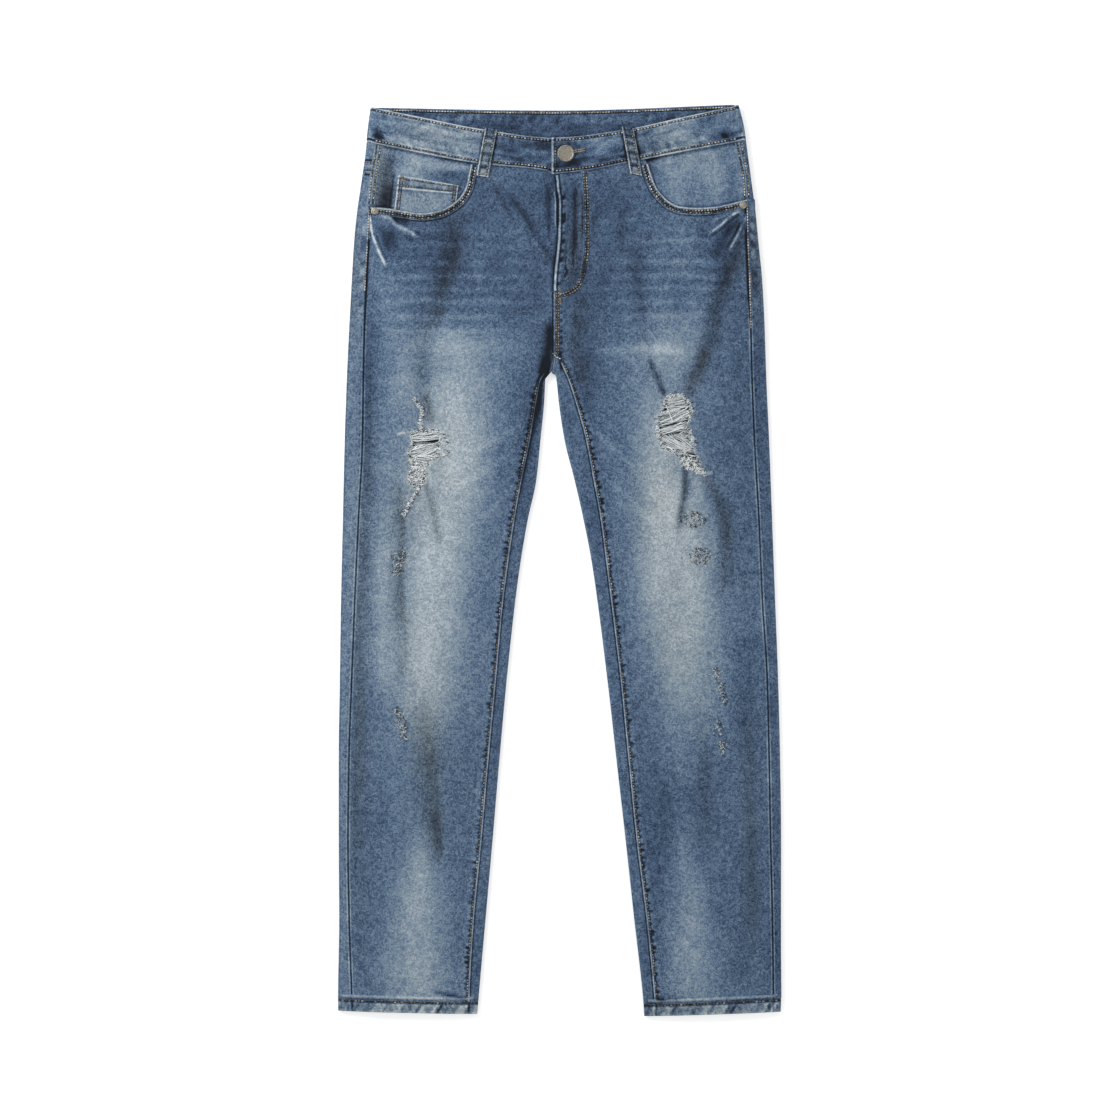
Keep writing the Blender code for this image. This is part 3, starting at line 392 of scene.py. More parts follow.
class Line:
    """A line on the cloth through (x, drop) points, measured along its length."""

    def __init__(self, points, step=0.8):
        points = np.array(points, float)
        chord = np.concatenate([[0], np.cumsum(np.hypot(*np.diff(points, axis=0).T))])
        fine = np.linspace(0, chord[-1], max(int(chord[-1] / step), 4))
        if len(points) > 2:
            xs = curve(np.column_stack([chord, points[:, 0]]))(fine)
            ys = curve(np.column_stack([chord, points[:, 1]]))(fine)
        else:
            xs, ys = np.interp(fine, chord, points[:, 0]), np.interp(fine, chord, points[:, 1])
        self.points = np.column_stack([xs, ys])
        self.s = np.concatenate([[0], np.cumsum(np.hypot(*np.diff(self.points, axis=0).T))])
        self.length = self.s[-1]
        self.run = np.gradient(self.points, axis=0)
        self.run /= np.maximum(np.hypot(*self.run.T), 1e-9)[:, None]

    def at(self, s):
        """Points and unit directions at distances along the line."""
        found = [np.interp(s, self.s, values) for values in (*self.points.T, *self.run.T)]
        return np.column_stack(found[:2]), np.column_stack(found[2:])

    def beside(self, offset):
        """The line moved sideways; positive is to the left of its direction on the page."""
        return Line(self.points + offset * np.column_stack([self.run[:, 1], -self.run[:, 0]]))

    def measure(self, x, drop, reach=14.0):
        """Signed distance from the line and place along it, for points within reach of it."""
        across = np.full(x.shape, 1e6)
        place = np.zeros(x.shape)
        low, high = self.points.min(0) - reach, self.points.max(0) + reach
        near = (x > low[0]) & (x < high[0]) & (drop > low[1]) & (drop < high[1])
        if near.any():
            dx = x[near][:, None] - self.points[None, :, 0]
            dy = drop[near][:, None] - self.points[None, :, 1]
            best = (dx**2 + dy**2).argmin(1)
            pick = np.arange(len(best))
            dx, dy, run = dx[pick, best], dy[pick, best], self.run[best]
            across[near] = dx * run[:, 1] - dy * run[:, 0]
            place[near] = self.s[best] + np.clip(dx * run[:, 0] + dy * run[:, 1], -9, 9)
        return across, place


def crease_strengths(x, drop):
    """Yield each crease with its strength, 0 to 1, at the points it reaches."""
    for number, (crease, line) in enumerate(CREASE_LINES):
        reach = 2.6 * max(crease.left, crease.right)
        across, place = line.measure(x, drop, reach)
        near = np.abs(across) < reach
        if near.any():
            s = place[near] / line.length
            width = np.where(across[near] < 0, crease.left, crease.right)
            ends = ease((s + 0.06) / 0.28) * ease((1.06 - s) / 0.32)
            wave = 0.85 + 0.15 * noise_line(place[near], 18, 200 + number)
            yield crease, near, wave * ends * np.exp(-np.abs(across[near] / width)**2)


CREASE_LINES = []
for crease in CREASES:
    path = crease.path if crease.path[-1][1] > crease.path[0][1] else crease.path[::-1]
    CREASE_LINES.append((crease, Line(path, step=3.0)))


def whisker_strength(whisker, x, drop):
    share = (x - whisker.x0) / (whisker.x1 - whisker.x0)
    middle = whisker.drop + 1.6 * noise_line(x, 24, int(whisker.drop)) - 3 * share * (1 - share)
    ragged = 0.65 + 0.55 * noise_plane(x * 0.4, drop, 2.4, 205)
    return ragged * ease(share / 0.2) * ease((1 - share) / 0.2) * bell(drop - middle, 3.2)


def cloth_field(x, drop):
    """Height of the cloth's top side and its tone, from the folds, creases, whiskers and wash; the dark
    tone of folds and creases is painted shade.
    """
    x, drop = np.broadcast_arrays(np.asarray(x, float), np.asarray(drop, float))
    low = underside(drop) + 2 * FOLD_RADIUS
    edge = inset(x, drop)
    rise = np.clip(edge / CROWN_REACH, 0, 1)
    height = low + (top_middle(drop) - low) * (1 - (1 - rise)**2)
    tone = np.full(x.shape, BASE_TONE)
    folds = np.zeros(x.shape)
    for crease, near, strength in crease_strengths(x, drop):
        folds[near] += crease.height * strength
        tone[near] += crease.tone * strength
    # How deep each point lies in the painted shade of the creases; whiskers show less there.
    fold_shade = np.clip((BASE_TONE - tone) / 0.2, 0, 1)
    for whisker in WHISKERS:
        near = (np.abs(drop - whisker.drop) < 12) & (x > whisker.x0) & (x < whisker.x1)
        if near.any():
            strength = whisker_strength(whisker, x[near], drop[near])
            folds[near] += 0.4 * strength
            tone[near] += whisker.tone * (1.45 * strength - 0.2) * (1 - 0.55 * fold_shade[near])
    for patch in PATCHES:
        dy = drop - patch.drop
        dx = x - patch.x - patch.lean * dy
        tone += patch.tone * np.exp(-(dx / patch.across)**2 - (dy / patch.along)**2)
    folds += 0.35 * noise_plane(x, drop * 0.5, 26, 3) + 0.12 * noise_plane(x, drop, 9, 4)
    tone += 0.04 * noise_plane(x, drop * 0.4, 22, 5) + 0.03 * noise_plane(x, drop, 7, 6)
    return height + folds * ease(edge / 22), tone


def ash_field(x, drop):
    """How far the cloth turns grey-green: the grey of painted shade in folds and in the dip beside the coin
    pocket, and of faded places.
    """
    # Grey-green painted shade in the dip of the right facing, between the side seam and the coin pocket.
    ash = 0.66 * np.exp(-((x + 195) / 13)**4 - ((drop - 84) / 34)**4)
    for crease, near, strength in crease_strengths(x, drop):
        ash[near] += crease.ash * strength
    for grey in GREYS:
        ash += grey.amount * np.exp(-((x - grey.x) / grey.across)**2
                                    - ((drop - grey.drop) / grey.along)**2)
    return np.clip(ash, 0, 1)


def trace(x, drop):
    return Line(np.column_stack([x, drop]))


def seam_line(function, first, last):
    drops = np.arange(first, last, 4.0)
    return trace(function(drops), drops)


# ---------------------------------------------------------------- meshes

def world(points):
    points = np.asarray(points, float)
    x, drop, z = points[..., 0], points[..., 1], points[..., 2]
    return np.stack([(x - CENTRE), (LENGTH / 2 - drop), z], -1) * 0.001


def build_mesh(name, points, faces, finish, tone=None, smooth=True):
    """Make a piece from points in millimetres and lists of face corners."""
    mesh = bpy.data.meshes.new(name)
    mesh.from_pydata(world(points).tolist(), [], faces if isinstance(faces, list) else faces.tolist())
    if tone is not None:
        layer = mesh.attributes.new("tone", "FLOAT", "POINT")
        layer.data.foreach_set("value", np.ascontiguousarray(tone, dtype=np.float32).ravel())
        ash = ash_field(points[:, 0], points[:, 1]) * (points[:, 2] > 4)
        layer = mesh.attributes.new("ash", "FLOAT", "POINT")
        layer.data.foreach_set("value", ash.astype(np.float32))
    mesh.validate()
    if smooth:
        mesh.shade_smooth()
    made = bpy.data.objects.new(name, mesh)
    bpy.context.scene.collection.objects.link(made)
    mesh.materials.append(finish)
    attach(made, "root")
    return made


def cloth_grid(name, points, tone, finish, thickness, node=None, faces_up=True, closed=False,
               keep=None, slot="denim_front"):
    """Make a cloth piece from a grid of x, drop and z on its outer face, thickened inwards."""
    points = np.stack(points, -1)
    rows, columns = points.shape[:2]
    index = np.arange(rows * columns).reshape(rows, columns)
    right = np.roll(index, -1, 1) if closed else index[:, 1:]
    left = index if closed else index[:, :-1]
    quads = np.stack([left[:-1], left[1:], right[1:], right[:-1]], -1).reshape(-1, 4)
    if keep is not None:
        quads = quads[keep.ravel()]
    corners = world(points.reshape(-1, 3)[quads[0]])
    normal = np.cross(corners[2] - corners[0], corners[3] - corners[1])
    if (normal[2] > 0) != faces_up:
        quads = quads[:, ::-1]
    used, quads = np.unique(quads, return_inverse=True)
    made = build_mesh(name, points.reshape(-1, 3)[used], quads.reshape(-1, 4), finish,
                      tone.reshape(-1)[used])
    wall = made.modifiers.new("wall", "SOLIDIFY")
    wall.thickness = thickness * 0.001
    wall.offset = -1
    if node:
        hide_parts(node)
    return made


class Pile:
    """Points and faces of many small pieces that become one object."""

    def __init__(self):
        self.points, self.faces, self.tones, self.count = [], [], [], 0

    def add(self, points, faces, tone):
        self.points.append(points.reshape(-1, 3))
        self.faces.append(faces.reshape(-1, 4) + self.count)
        self.tones.append(np.broadcast_to(tone, points.shape[:-1]).reshape(-1))
        self.count += len(self.points[-1])

    def grid(self, points, tone):
        rows, columns = points.shape[:2]
        i = np.arange(rows * columns).reshape(rows, columns)
        self.add(points, np.stack([i[:-1, :-1], i[:-1, 1:], i[1:, 1:], i[1:, :-1]], -1), tone)

    def rings(self, points, tone):
        """Tubes: points is (tubes, stations, sides, 3); the ends are left open."""
        tubes, stations, sides = points.shape[:3]
        i = np.arange(tubes * stations * sides).reshape(tubes, stations, sides)
        j = np.roll(i, -1, 2)
        self.add(points, np.stack([i[:, :-1], j[:, :-1], j[:, 1:], i[:, 1:]], -1), tone)

    def build(self, name, finish, slot, node=None):
        made = build_mesh(name, np.concatenate(self.points), np.concatenate(self.faces), finish,
                          np.concatenate(self.tones))
        if node:
            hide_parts(node)
        return made


def tubes(pile, path, radius, tone, sides=5):
    """Add round threads: path is (threads, stations, 3) in millimetres, radius per station."""
    run = np.gradient(path, axis=1)
    run /= np.maximum(np.linalg.norm(run, axis=2, keepdims=True), 1e-9)
    up = np.zeros_like(run)
    up[..., 2] = 1
    side = np.cross(run, up)
    side /= np.maximum(np.linalg.norm(side, axis=2, keepdims=True), 1e-9)
    up = np.cross(side, run)
    turn = np.linspace(0, 2 * np.pi, sides, endpoint=False)
    radius = np.broadcast_to(radius, path.shape[:2])[..., None, None]
    around = (side[:, :, None] * np.cos(turn)[None, None, :, None]
              + up[:, :, None] * np.sin(turn)[None, None, :, None])
    pile.rings(path[:, :, None] + radius * around, np.broadcast_to(
        np.asarray(tone)[..., None], (*path.shape[:2], sides)) if np.ndim(tone) == 2 else tone)


def stitches(pile, line, offset=0.0, surface=None, pitch=3.1, gap=0.9, radius=0.72, tone=0.55,
             lift=0.55, face=1, seed=1, ragged=0.22):
    """Add a row of stitches beside a line, as short threads that dip in at both ends."""
    surface = surface or top_surface
    row = line.beside(offset) if offset else line
    random = np.random.RandomState(seed)
    middles = np.arange(pitch * 0.6, row.length - pitch * 0.4, pitch)
    if not len(middles):
        return
    half = (pitch - gap) / 2
    t = np.array([-1.0, -0.75, -0.3, 0.3, 0.75, 1.0])
    place = middles[:, None] + t * half
    points, _ = row.at(place.ravel())
    x, drop = points[:, 0].reshape(place.shape), points[:, 1].reshape(place.shape)
    z, _ = surface(x, drop)
    z = z + face * (lift + radius * 0.6 * (1 - 1.6 * t**4))
    thick = radius * np.array([0.35, 0.85, 1.0, 1.0, 0.85, 0.35])
    # Each stitch is darker towards its ends: painted shade where it dips into the cloth.
    tones = np.clip(tone + ragged * random.uniform(-1, 1, (len(middles), 1))
                    + 0.22 * noise_line(middles, 12, seed)[:, None] - 0.35 * t**4, 0, 1)
    tubes(pile, np.stack([x, drop, z], -1), thick[None], tones, sides=5 if face > 0 else 3)


def rows(pile, line, offsets, **settings):
    """Add several rows of stitches, from the offset and seed of each."""
    for offset, seed in offsets:
        stitches(pile, line, offset, seed=seed, **settings)


def strip(pile, line, low, high, columns, profile, surface=None, step=1.0, lift=0.5, soft=1.6):
    """Add a narrow band of cloth along a line, between two offsets, with its own relief.

    profile(s, offset) gives height and tone to add; both fade out at the strip's two edges, and
    the relief never sinks under the cloth below.
    """
    surface = surface or top_surface
    s = np.linspace(0, line.length, max(int(line.length / step), 3))
    points, run = line.at(s)
    offset = np.linspace(low, high, columns)
    x = points[:, :1] + offset * run[:, 1:]
    drop = points[:, 1:] - offset * run[:, :1]
    z, tone = surface(x, drop)
    rise, shade = profile(np.broadcast_to(s[:, None], x.shape), np.broadcast_to(offset, x.shape))
    edge = np.minimum(offset - low, high - offset)[None]
    fade = ease(edge / soft)
    z = z + lerp(-0.35, np.maximum(lift + rise, 0.06), fade)
    pile.grid(np.stack([x, drop, z], -1), tone + shade * fade)


# ---------------------------------------------------------------- materials

def linear(r, g, b):
    """Turn a written 0-255 colour into the linear values that shaders use."""
    def channel(c):
        c /= 255
        return c / 12.92 if c <= 0.04045 else ((c + 0.055) / 1.055)**2.4
    return (channel(r), channel(g), channel(b), 1.0)


DENIM_RAMP = [(0.00, (20, 27, 38)), (0.15, (45, 59, 81)), (0.30, (68, 89, 116)),
              (0.45, (88, 111, 139)), (0.60, (115, 135, 155)), (0.75, (140, 156, 169)),
              (0.90, (167, 179, 189)), (1.00, (192, 202, 211))]
ASH_RAMP = [(0.00, (26, 30, 34)), (0.15, (52, 58, 63)), (0.30, (76, 86, 92)),
            (0.45, (98, 109, 114)), (0.60, (122, 132, 135)), (0.75, (146, 154, 156)),
            (0.90, (170, 177, 177)), (1.00, (192, 196, 195))]
THREAD_RAMP = [(0.0, (30, 29, 31)), (0.30, (88, 83, 76)), (0.55, (145, 139, 127)),
               (0.8, (191, 187, 178)), (1.0, (224, 222, 217))]


class Nodes:
    """A small helper that adds and links shader nodes."""

    def __init__(self, name):
        self.material = bpy.data.materials.new(name)
        self.material.use_nodes = True
        self.tree = self.material.node_tree
        self.shader = self.tree.nodes["Principled BSDF"]
        self.coordinates = self.tree.nodes.new("ShaderNodeTexCoord").outputs["Object"]

    def link(self, source, target):
        self.tree.links.new(source, target)

    def add(self, kind, **settings):
        made = self.tree.nodes.new(kind)
        for key, value in settings.items():
            setattr(made, key, value)
        return made

    def noise(self, scale, detail=3.0, roughness=0.6, stretch=(1, 1, 1), distortion=0.0):
        mapping = self.add("ShaderNodeMapping")
        mapping.inputs["Scale"].default_value = stretch
        self.link(self.coordinates, mapping.inputs["Vector"])
        texture = self.add("ShaderNodeTexNoise")
        texture.inputs["Scale"].default_value = scale
        texture.inputs["Detail"].default_value = detail
        texture.inputs["Roughness"].default_value = roughness
        texture.inputs["Distortion"].default_value = distortion
        self.link(mapping.outputs["Vector"], texture.inputs["Vector"])
        return texture.outputs["Fac"]

    def worms(self, scale, distortion, sharp):
        """Thin squiggled lines, 1 on a line and 0 away from it, where a noise passes its middle."""
        away = self.math("ABSOLUTE", self.math("SUBTRACT", self.noise(scale, 0.0, 0.5,
                                                                      distortion=distortion), 0.5))
        return self.math("SUBTRACT", 1.0, self.math("MINIMUM", self.math("MULTIPLY", away, sharp), 1.0))

    def math(self, operation, a, b=None, c=None):
        made = self.add("ShaderNodeMath", operation=operation)
        for socket, value in zip(made.inputs, (a, b, c)):
            if value is None:
                continue
            if isinstance(value, (int, float)):
                socket.default_value = value
            else:
                self.link(value, socket)
        return made.outputs[0]

    def ramp(self, factor, stops):
        made = self.add("ShaderNodeValToRGB")
        elements = made.color_ramp.elements
        while len(elements) < len(stops):
            elements.new(0.5)
        for element, (place, colour) in zip(elements, stops):
            element.position = place
            element.color = linear(*colour)
        self.link(factor, made.inputs["Fac"])
        return made.outputs["Color"]

    def bump(self, height, strength, distance):
        made = self.add("ShaderNodeBump")
        made.inputs["Strength"].default_value = strength
        made.inputs["Distance"].default_value = distance
        self.link(height, made.inputs["Height"])
        self.link(made.outputs["Normal"], self.shader.inputs["Normal"])

    def set(self, **values):
        for key, value in values.items():
            self.shader.inputs[key.replace("_", " ")].default_value = value


def denim(name, shift=0.0):
    """Washed twill: the tone layer sets how faded it is, and carries the painted shade of folds, creases
    and edges; the ash layer sets how grey, including the grey-green of that painted shade; the weave's
    squiggled heather, slubs and ribs lie over both."""
    n = Nodes(name)
    tone = n.add("ShaderNodeAttribute", attribute_name="tone").outputs["Fac"]
    ash = n.add("ShaderNodeAttribute", attribute_name="ash").outputs["Fac"]
    heather = n.noise(900, 1.0, 0.6)
    squiggle = n.worms(250, 1.0, 5.5)
    shadow = n.worms(310, 1.4, 5.0)
    slub = n.noise(160, 2.0, 0.5, (5.0, 1, 1))
    weft = n.noise(170, 2.0, 0.5, (1, 5.0, 1))
    mottle = n.noise(60, 2.0, 0.5)
    ribs = n.add("ShaderNodeTexWave", bands_direction="DIAGONAL")
    ribs.inputs["Scale"].default_value = 430
    ribs.inputs["Distortion"].default_value = 1.2
    ribs.inputs["Detail"].default_value = 1.0
    n.link(n.coordinates, ribs.inputs["Vector"])
    grain = 0.0
    for source, middle, amount in (
            (heather, 0.5, 0.41), (squiggle, 0.32, 0.24), (shadow, 0.32, -0.15), (slub, 0.5, 0.13),
            (weft, 0.5, 0.10), (mottle, 0.5, 0.13), (ribs.outputs["Fac"], 0.5, 0.05)):
        grain = n.math("ADD", grain, n.math("MULTIPLY", n.math("SUBTRACT", source, middle), amount))
    depth = n.math("MINIMUM", n.math("ADD", n.math("MULTIPLY", tone, 2.2), 0.2),
                   n.math("SUBTRACT", 1.15, n.math("MULTIPLY", tone, 0.38)))
    total = n.math("ADD", n.math("ADD", tone, shift), n.math("MULTIPLY", grain, depth))
    mix = n.add("ShaderNodeMix", data_type="RGBA")
    n.link(ash, mix.inputs[0])
    n.link(n.ramp(total, DENIM_RAMP), mix.inputs[6])
    n.link(n.ramp(total, ASH_RAMP), mix.inputs[7])
    n.link(mix.outputs[2], n.shader.inputs["Base Color"])
    height = n.math("ADD", n.math("MULTIPLY", ribs.outputs["Fac"], 0.4),
                    n.math("ADD", n.math("MULTIPLY", heather, 0.6), squiggle))
    n.bump(height, 0.5, 0.0004)
    n.set(Roughness=0.88, Specular_IOR_Level=0.15, Sheen_Weight=0.12, Sheen_Roughness=0.5)
    return n.material


def thread(name, stops, roughness=0.7):
    """Spun thread, whose tone layer picks its colour, with a fine noise in its bump."""
    n = Nodes(name)
    tone = n.add("ShaderNodeAttribute", attribute_name="tone").outputs["Fac"]
    fuzz = n.noise(1400, 2.0, 0.6)
    total = n.math("ADD", tone, n.math("MULTIPLY", n.math("SUBTRACT", fuzz, 0.5), 0.35))
    n.link(n.ramp(total, stops), n.shader.inputs["Base Color"])
    n.bump(fuzz, 0.4, 0.0002)
    n.set(Roughness=roughness, Specular_IOR_Level=0.2, Sheen_Weight=0.1)
    return n.material


def metal(name, colour, roughness):
    """Dull plated metal with a faint brushed grain and worn patches."""
    n = Nodes(name)
    grain = n.noise(2200, 2.0, 0.6, (1, 0.2, 1))
    wear = n.noise(500, 3.0, 0.6)
    low = tuple(max(c - 16, 0) for c in colour)
    high = tuple(c + 16 for c in colour)
    n.link(n.ramp(wear, [(0.35, low), (0.65, high)]), n.shader.inputs["Base Color"])
    rough = n.math("ADD", n.math("MULTIPLY", wear, 0.15), roughness - 0.07)
    n.link(rough, n.shader.inputs["Roughness"])
    n.bump(grain, 0.15, 0.0001)
    n.set(Metallic=1.0)
    return n.material


DENIM = denim("denim")
BAND_DENIM = denim("denim_band")
TAPE = denim("zip_tape", -0.25)
THREAD = thread("topstitch", THREAD_RAMP)
WEFT = thread("weft", [(0.0, (28, 38, 44)), (0.3, (88, 101, 108)), (0.55, (160, 169, 173)),
                       (0.8, (207, 213, 215)), (1.0, (238, 241, 242))], 0.8)
BUTTON_METAL = metal("button_metal", (150, 146, 136), 0.55)
RIVET_METAL = metal("rivet_metal", (164, 160, 152), 0.45)


# ---------------------------------------------------------------- front panels

def front_x(side, fraction, drop):
    """x at a fraction of the front's width, from the side seam to the fly or inseam."""
    inner = np.where(drop < JUNCTION_DROP, fly_edge(drop), inseam[side](drop))
    return lerp(outseam[side](drop), inner, fraction)


def front_seam_drop(side, fraction):
    drop = np.full(np.shape(fraction), PANEL_HEAD)
    for _ in range(4):
        drop = band_seam[side](front_x(side, fraction, drop))
    return drop


def hem_line(side, line, x):
    hem = HEMS[side]
    outer, inner = outer_edge[side](LENGTH), inner_edge[side](LENGTH)
    ends = (hem.top_outer, hem.top_inner) if line == "top" else (hem.foot_outer, hem.foot_inner)
    return lerp(*ends, (x - outer) / (inner - outer))


def spread(total, fine, edge_step, middle_step):
    """Fractions across a width: fine steps near both ends and wider ones between."""
    edge = np.arange(0, fine, edge_step)
    middle = np.linspace(fine, total - fine, max(int((total - 2 * fine) / middle_step), 2))
    return np.concatenate([edge, middle, total - edge[::-1]]) / total


def mouth_line(side):
    """The pocket mouth's edge, from the side seam to the waistband."""
    fractions = np.linspace(0, MOUTH_END[side], 40)
    drops = mouth[side](fractions)
    return trace(front_x(side, fractions, drops), drops)


def ticks(s, spacing, seed):
    """Short marks at uneven places along a seam: 1 on a mark, 0 between."""
    random = np.random.RandomState(seed)
    places = np.cumsum(random.uniform(0.55, 1.5, 400) * spacing)
    widths = random.uniform(1.3, 2.3, 400)
    weight = random.uniform(0.45, 1.0, 400)
    i = np.clip(np.searchsorted(places, s), 1, 399)
    return np.maximum(weight[i] * np.exp(-((s - places[i]) / widths[i])**4),
                      weight[i - 1] * np.exp(-((s - places[i - 1]) / widths[i - 1])**4))


def top_surface(x, drop):
    """Height and tone of the whole top side."""
    height, tone = cloth_field(x, drop)
    beyond = ease((outseam["right"](drop) - x) / 3)
    tone = tone + 0.10 * beyond - 0.06 * ease((x - outseam["left"](drop)) / 3)
    legs = ease((drop - 300) / 60)
    inner = np.where(x < CROTCH_X, x - inseam["right"](drop), inseam["left"](drop) - x)
    return height, tone - 0.05 * legs * ease((inner + 2) / 4)


def inside(outline, x, drop):
    """Whether each point lies inside a closed outline."""
    result = np.zeros(x.shape, bool)
    points = np.array(outline, float)
    for (x0, y0), (x1, y1) in zip(points, np.roll(points, -1, 0)):
        crosses = (y0 > drop) != (y1 > drop)
        with np.errstate(divide="ignore", invalid="ignore"):
            result ^= crosses & (x < (x1 - x0) * (drop - y0) / (y1 - y0) + x0)
    return result


FRONT_HIP_ROWS, BACK_HIP_ROWS, YOKE_STEPS = 34, 24, 16
# The drops between which a front panel's level rows lie, and the step between them.
FRONT_LEVELS = ((BLEND_DROP, JUNCTION_DROP, 2.3), (JUNCTION_DROP, 300, 1.6), (300, 560, 2.3),
                (560, 980, 3.0))


def front_panel(side):
    """The front leg panel, from the pocket mouth and waistband to the hem."""
    fractions = spread(172.0, 8.0, 1.6, 2.4)
    upper = np.where(fractions < MOUTH_END[side], mouth[side](fractions),
                     front_seam_drop(side, fractions))
    levels = np.concatenate([np.arange(*run) for run in FRONT_LEVELS])
    rows = [lerp(upper, BLEND_DROP, k / FRONT_HIP_ROWS) for k in range(FRONT_HIP_ROWS)]
    rows += [np.full(len(fractions), level) for level in levels]
    foot = hem_line(side, "top", front_x(side, fractions, np.full(len(fractions), PANEL_FOOT)))
    rows.append(foot - GAP)
    drop = np.array(rows)
    x = front_x(side, fractions[None, :], drop)
    z, tone = top_surface(x, drop)
    left, right, top, foot = TEAR_WINDOWS[side]
    covered = (x > left) & (x < right) & (drop > top) & (drop < foot)
    keep = ~(covered[1:, 1:] & covered[:-1, :-1] & covered[1:, :-1] & covered[:-1, 1:])
    # A painted shadow line on the front panel just under the waistband's seam, past the pocket mouth.
    band = drop - front_seam_drop(side, np.broadcast_to(fractions, drop.shape))
    past_mouth = fractions[None, :] > MOUTH_END[side]
    tone = tone - np.where(past_mouth, 0.22 * bell(band, 1.6), 0)
    piece = cloth_grid(f"front_{side}", (x, drop, z), tone, DENIM, CLOTH,
                       f"front_panel_{side}", keep=keep)


def tear_patch(side):
    """The cloth round a torn hole on a fine grid, with its ragged rim."""
    left, right, top, foot = TEAR_WINDOWS[side]
    margin = 3.0
    xs = np.arange(left - margin, right + margin, 0.95)
    drops = np.arange(top - margin, foot + margin, 0.95)
    x, drop = np.meshgrid(xs, drops)
    x = x + 0.25 * noise_plane(x, drop, 1.6, 33)
    drop = drop + 0.25 * noise_plane(x, drop, 1.6, 34)
    z, tone = top_surface(x, drop)
    centre_x, centre_drop = (x[1:, 1:] + x[:-1, :-1]) / 2, (drop[1:, 1:] + drop[:-1, :-1]) / 2
    torn = inside(TEARS[side], centre_x + 1.3 * noise_plane(centre_x, centre_drop, 2.2, 31),
                  centre_drop + 1.0 * noise_plane(centre_x, centre_drop, 3.0, 32))
    rim = Line(TEARS[side] + TEARS[side][:1])
    away = np.abs(rim.measure(x, drop)[0])
    ragged = np.clip(0.6 + 0.7 * noise_plane(x, drop, 2.6, 36), 0, 1.2)
    z = z + 0.5 * bell(away, 3.0) + 0.3 * noise_plane(x, drop, 4, 35) * bell(away, 7)
    tone = tone + 0.34 * ragged * bell(away, 2.0) + 0.10 * bell(away, 6)
    border = np.minimum(np.minimum(x - left, right - x), np.minimum(drop - top, foot - drop))
    z = z + 0.04 - 0.10 * ease(1 - (border + margin) / margin)
    piece = cloth_grid(f"torn_cloth_{side}", (x, drop, z), tone, DENIM, CLOTH,
                       keep=~torn)


# ---------------------------------------------------------------- back panels and yokes

@functools.lru_cache(maxsize=None)
def fold_height(x, drop):
    """Height of the top side where a rounded fold starts."""
    return top_surface(np.array([x]), np.array([drop]))[0][0]


def back_arc(side, drop_at, legs, count):
    """One ring section from the side seam round the outer edge to the centre back or inseam.

    Each point has x, drop and the rule for its height: None on the top side, "floor", or where its
    rounded fold starts and how far up the fold it lies, from -1 to 1.
    """
    inwards = -SIGN[side]
    near = LENGTH if legs else WAIST_SEAM_DROP
    seam_drop, edge_drop = drop_at(outseam[side](near), True), drop_at(outer_edge[side](near), True)
    inner_drop = drop_at(inner_edge[side](LENGTH), False)
    edge, fold = outer_edge[side](edge_drop), inner_edge[side](inner_drop)
    seam = inseam[side](inner_drop)
    radius = min(FOLD_RADIUS, abs(seam - fold) - GAP)
    start = edge + inwards * FOLD_RADIUS
    end = fold - inwards * radius if legs else CENTRE_BACK_X
    on_top, on_floor = count
    angles = np.radians(np.linspace(90, -90, 9)[1:])
    points = [(x, drop, None) for x, drop in zip(np.linspace(outseam[side](seam_drop), start, on_top),
                                                 np.linspace(seam_drop, edge_drop, on_top))]
    points += [(start - inwards * FOLD_RADIUS * math.cos(angle), edge_drop,
                (start, edge_drop, math.sin(angle))) for angle in angles]
    points += [(x, drop_at(x, False), "floor")
               for x in lerp(start, end, np.linspace(0, 1, on_floor + 1)[1:])]
    points += [(end + inwards * radius * math.cos(angle), inner_drop,
                (end, inner_drop, math.sin(angle))) for angle in angles[::-1][1:]]
    points += [(lerp(end, seam, share), lerp(inner_drop, drop_at(seam, True), share), None)
               for share in np.linspace(0, 1, on_top + 1)]
    return list(zip(*points))


def back_sheet(name, sections, node, legs_from=None):
    """Build a back piece from its ring sections; hip rows stop at the centre back."""
    x, drop = (np.array([section[i] for section in sections], float) for i in (0, 1))
    z, tone = top_surface(x, drop)
    floor_z = underside(drop)
    for r, (_, _, rules) in enumerate(sections):
        for c, rule in enumerate(rules):
            if rule == "floor":
                z[r, c] = floor_z[r, c]
            elif rule:
                high, low = fold_height(rule[0], rule[1]), floor_z[r, c]
                z[r, c] = (high + low) / 2 + (high - low) / 2 * rule[2]
    on_top = np.array([[rule is None for rule in section[2]] for section in sections])
    tone = np.where(on_top, tone, BACK_TONE + 0.05 * noise_plane(x, drop, 14, 8))
    hip_columns = max(c for c, rule in enumerate(sections[0][2]) if rule == "floor")
    keep = np.ones((len(sections) - 1, x.shape[1] - 1), bool)
    keep[:legs_from, hip_columns:] = False
    return cloth_grid(name, (x, drop, z), tone, DENIM, CLOTH, node, keep=keep, slot="denim_back")


def yoke_drop(side, x, on_top):
    outer = outer_edge[side](YOKE_SIDE_DROP)
    share = 0.0 if on_top else (x - outer) / (CENTRE_BACK_X - outer)
    return lerp(YOKE_SIDE_DROP, YOKE_CENTRE_DROP, share)


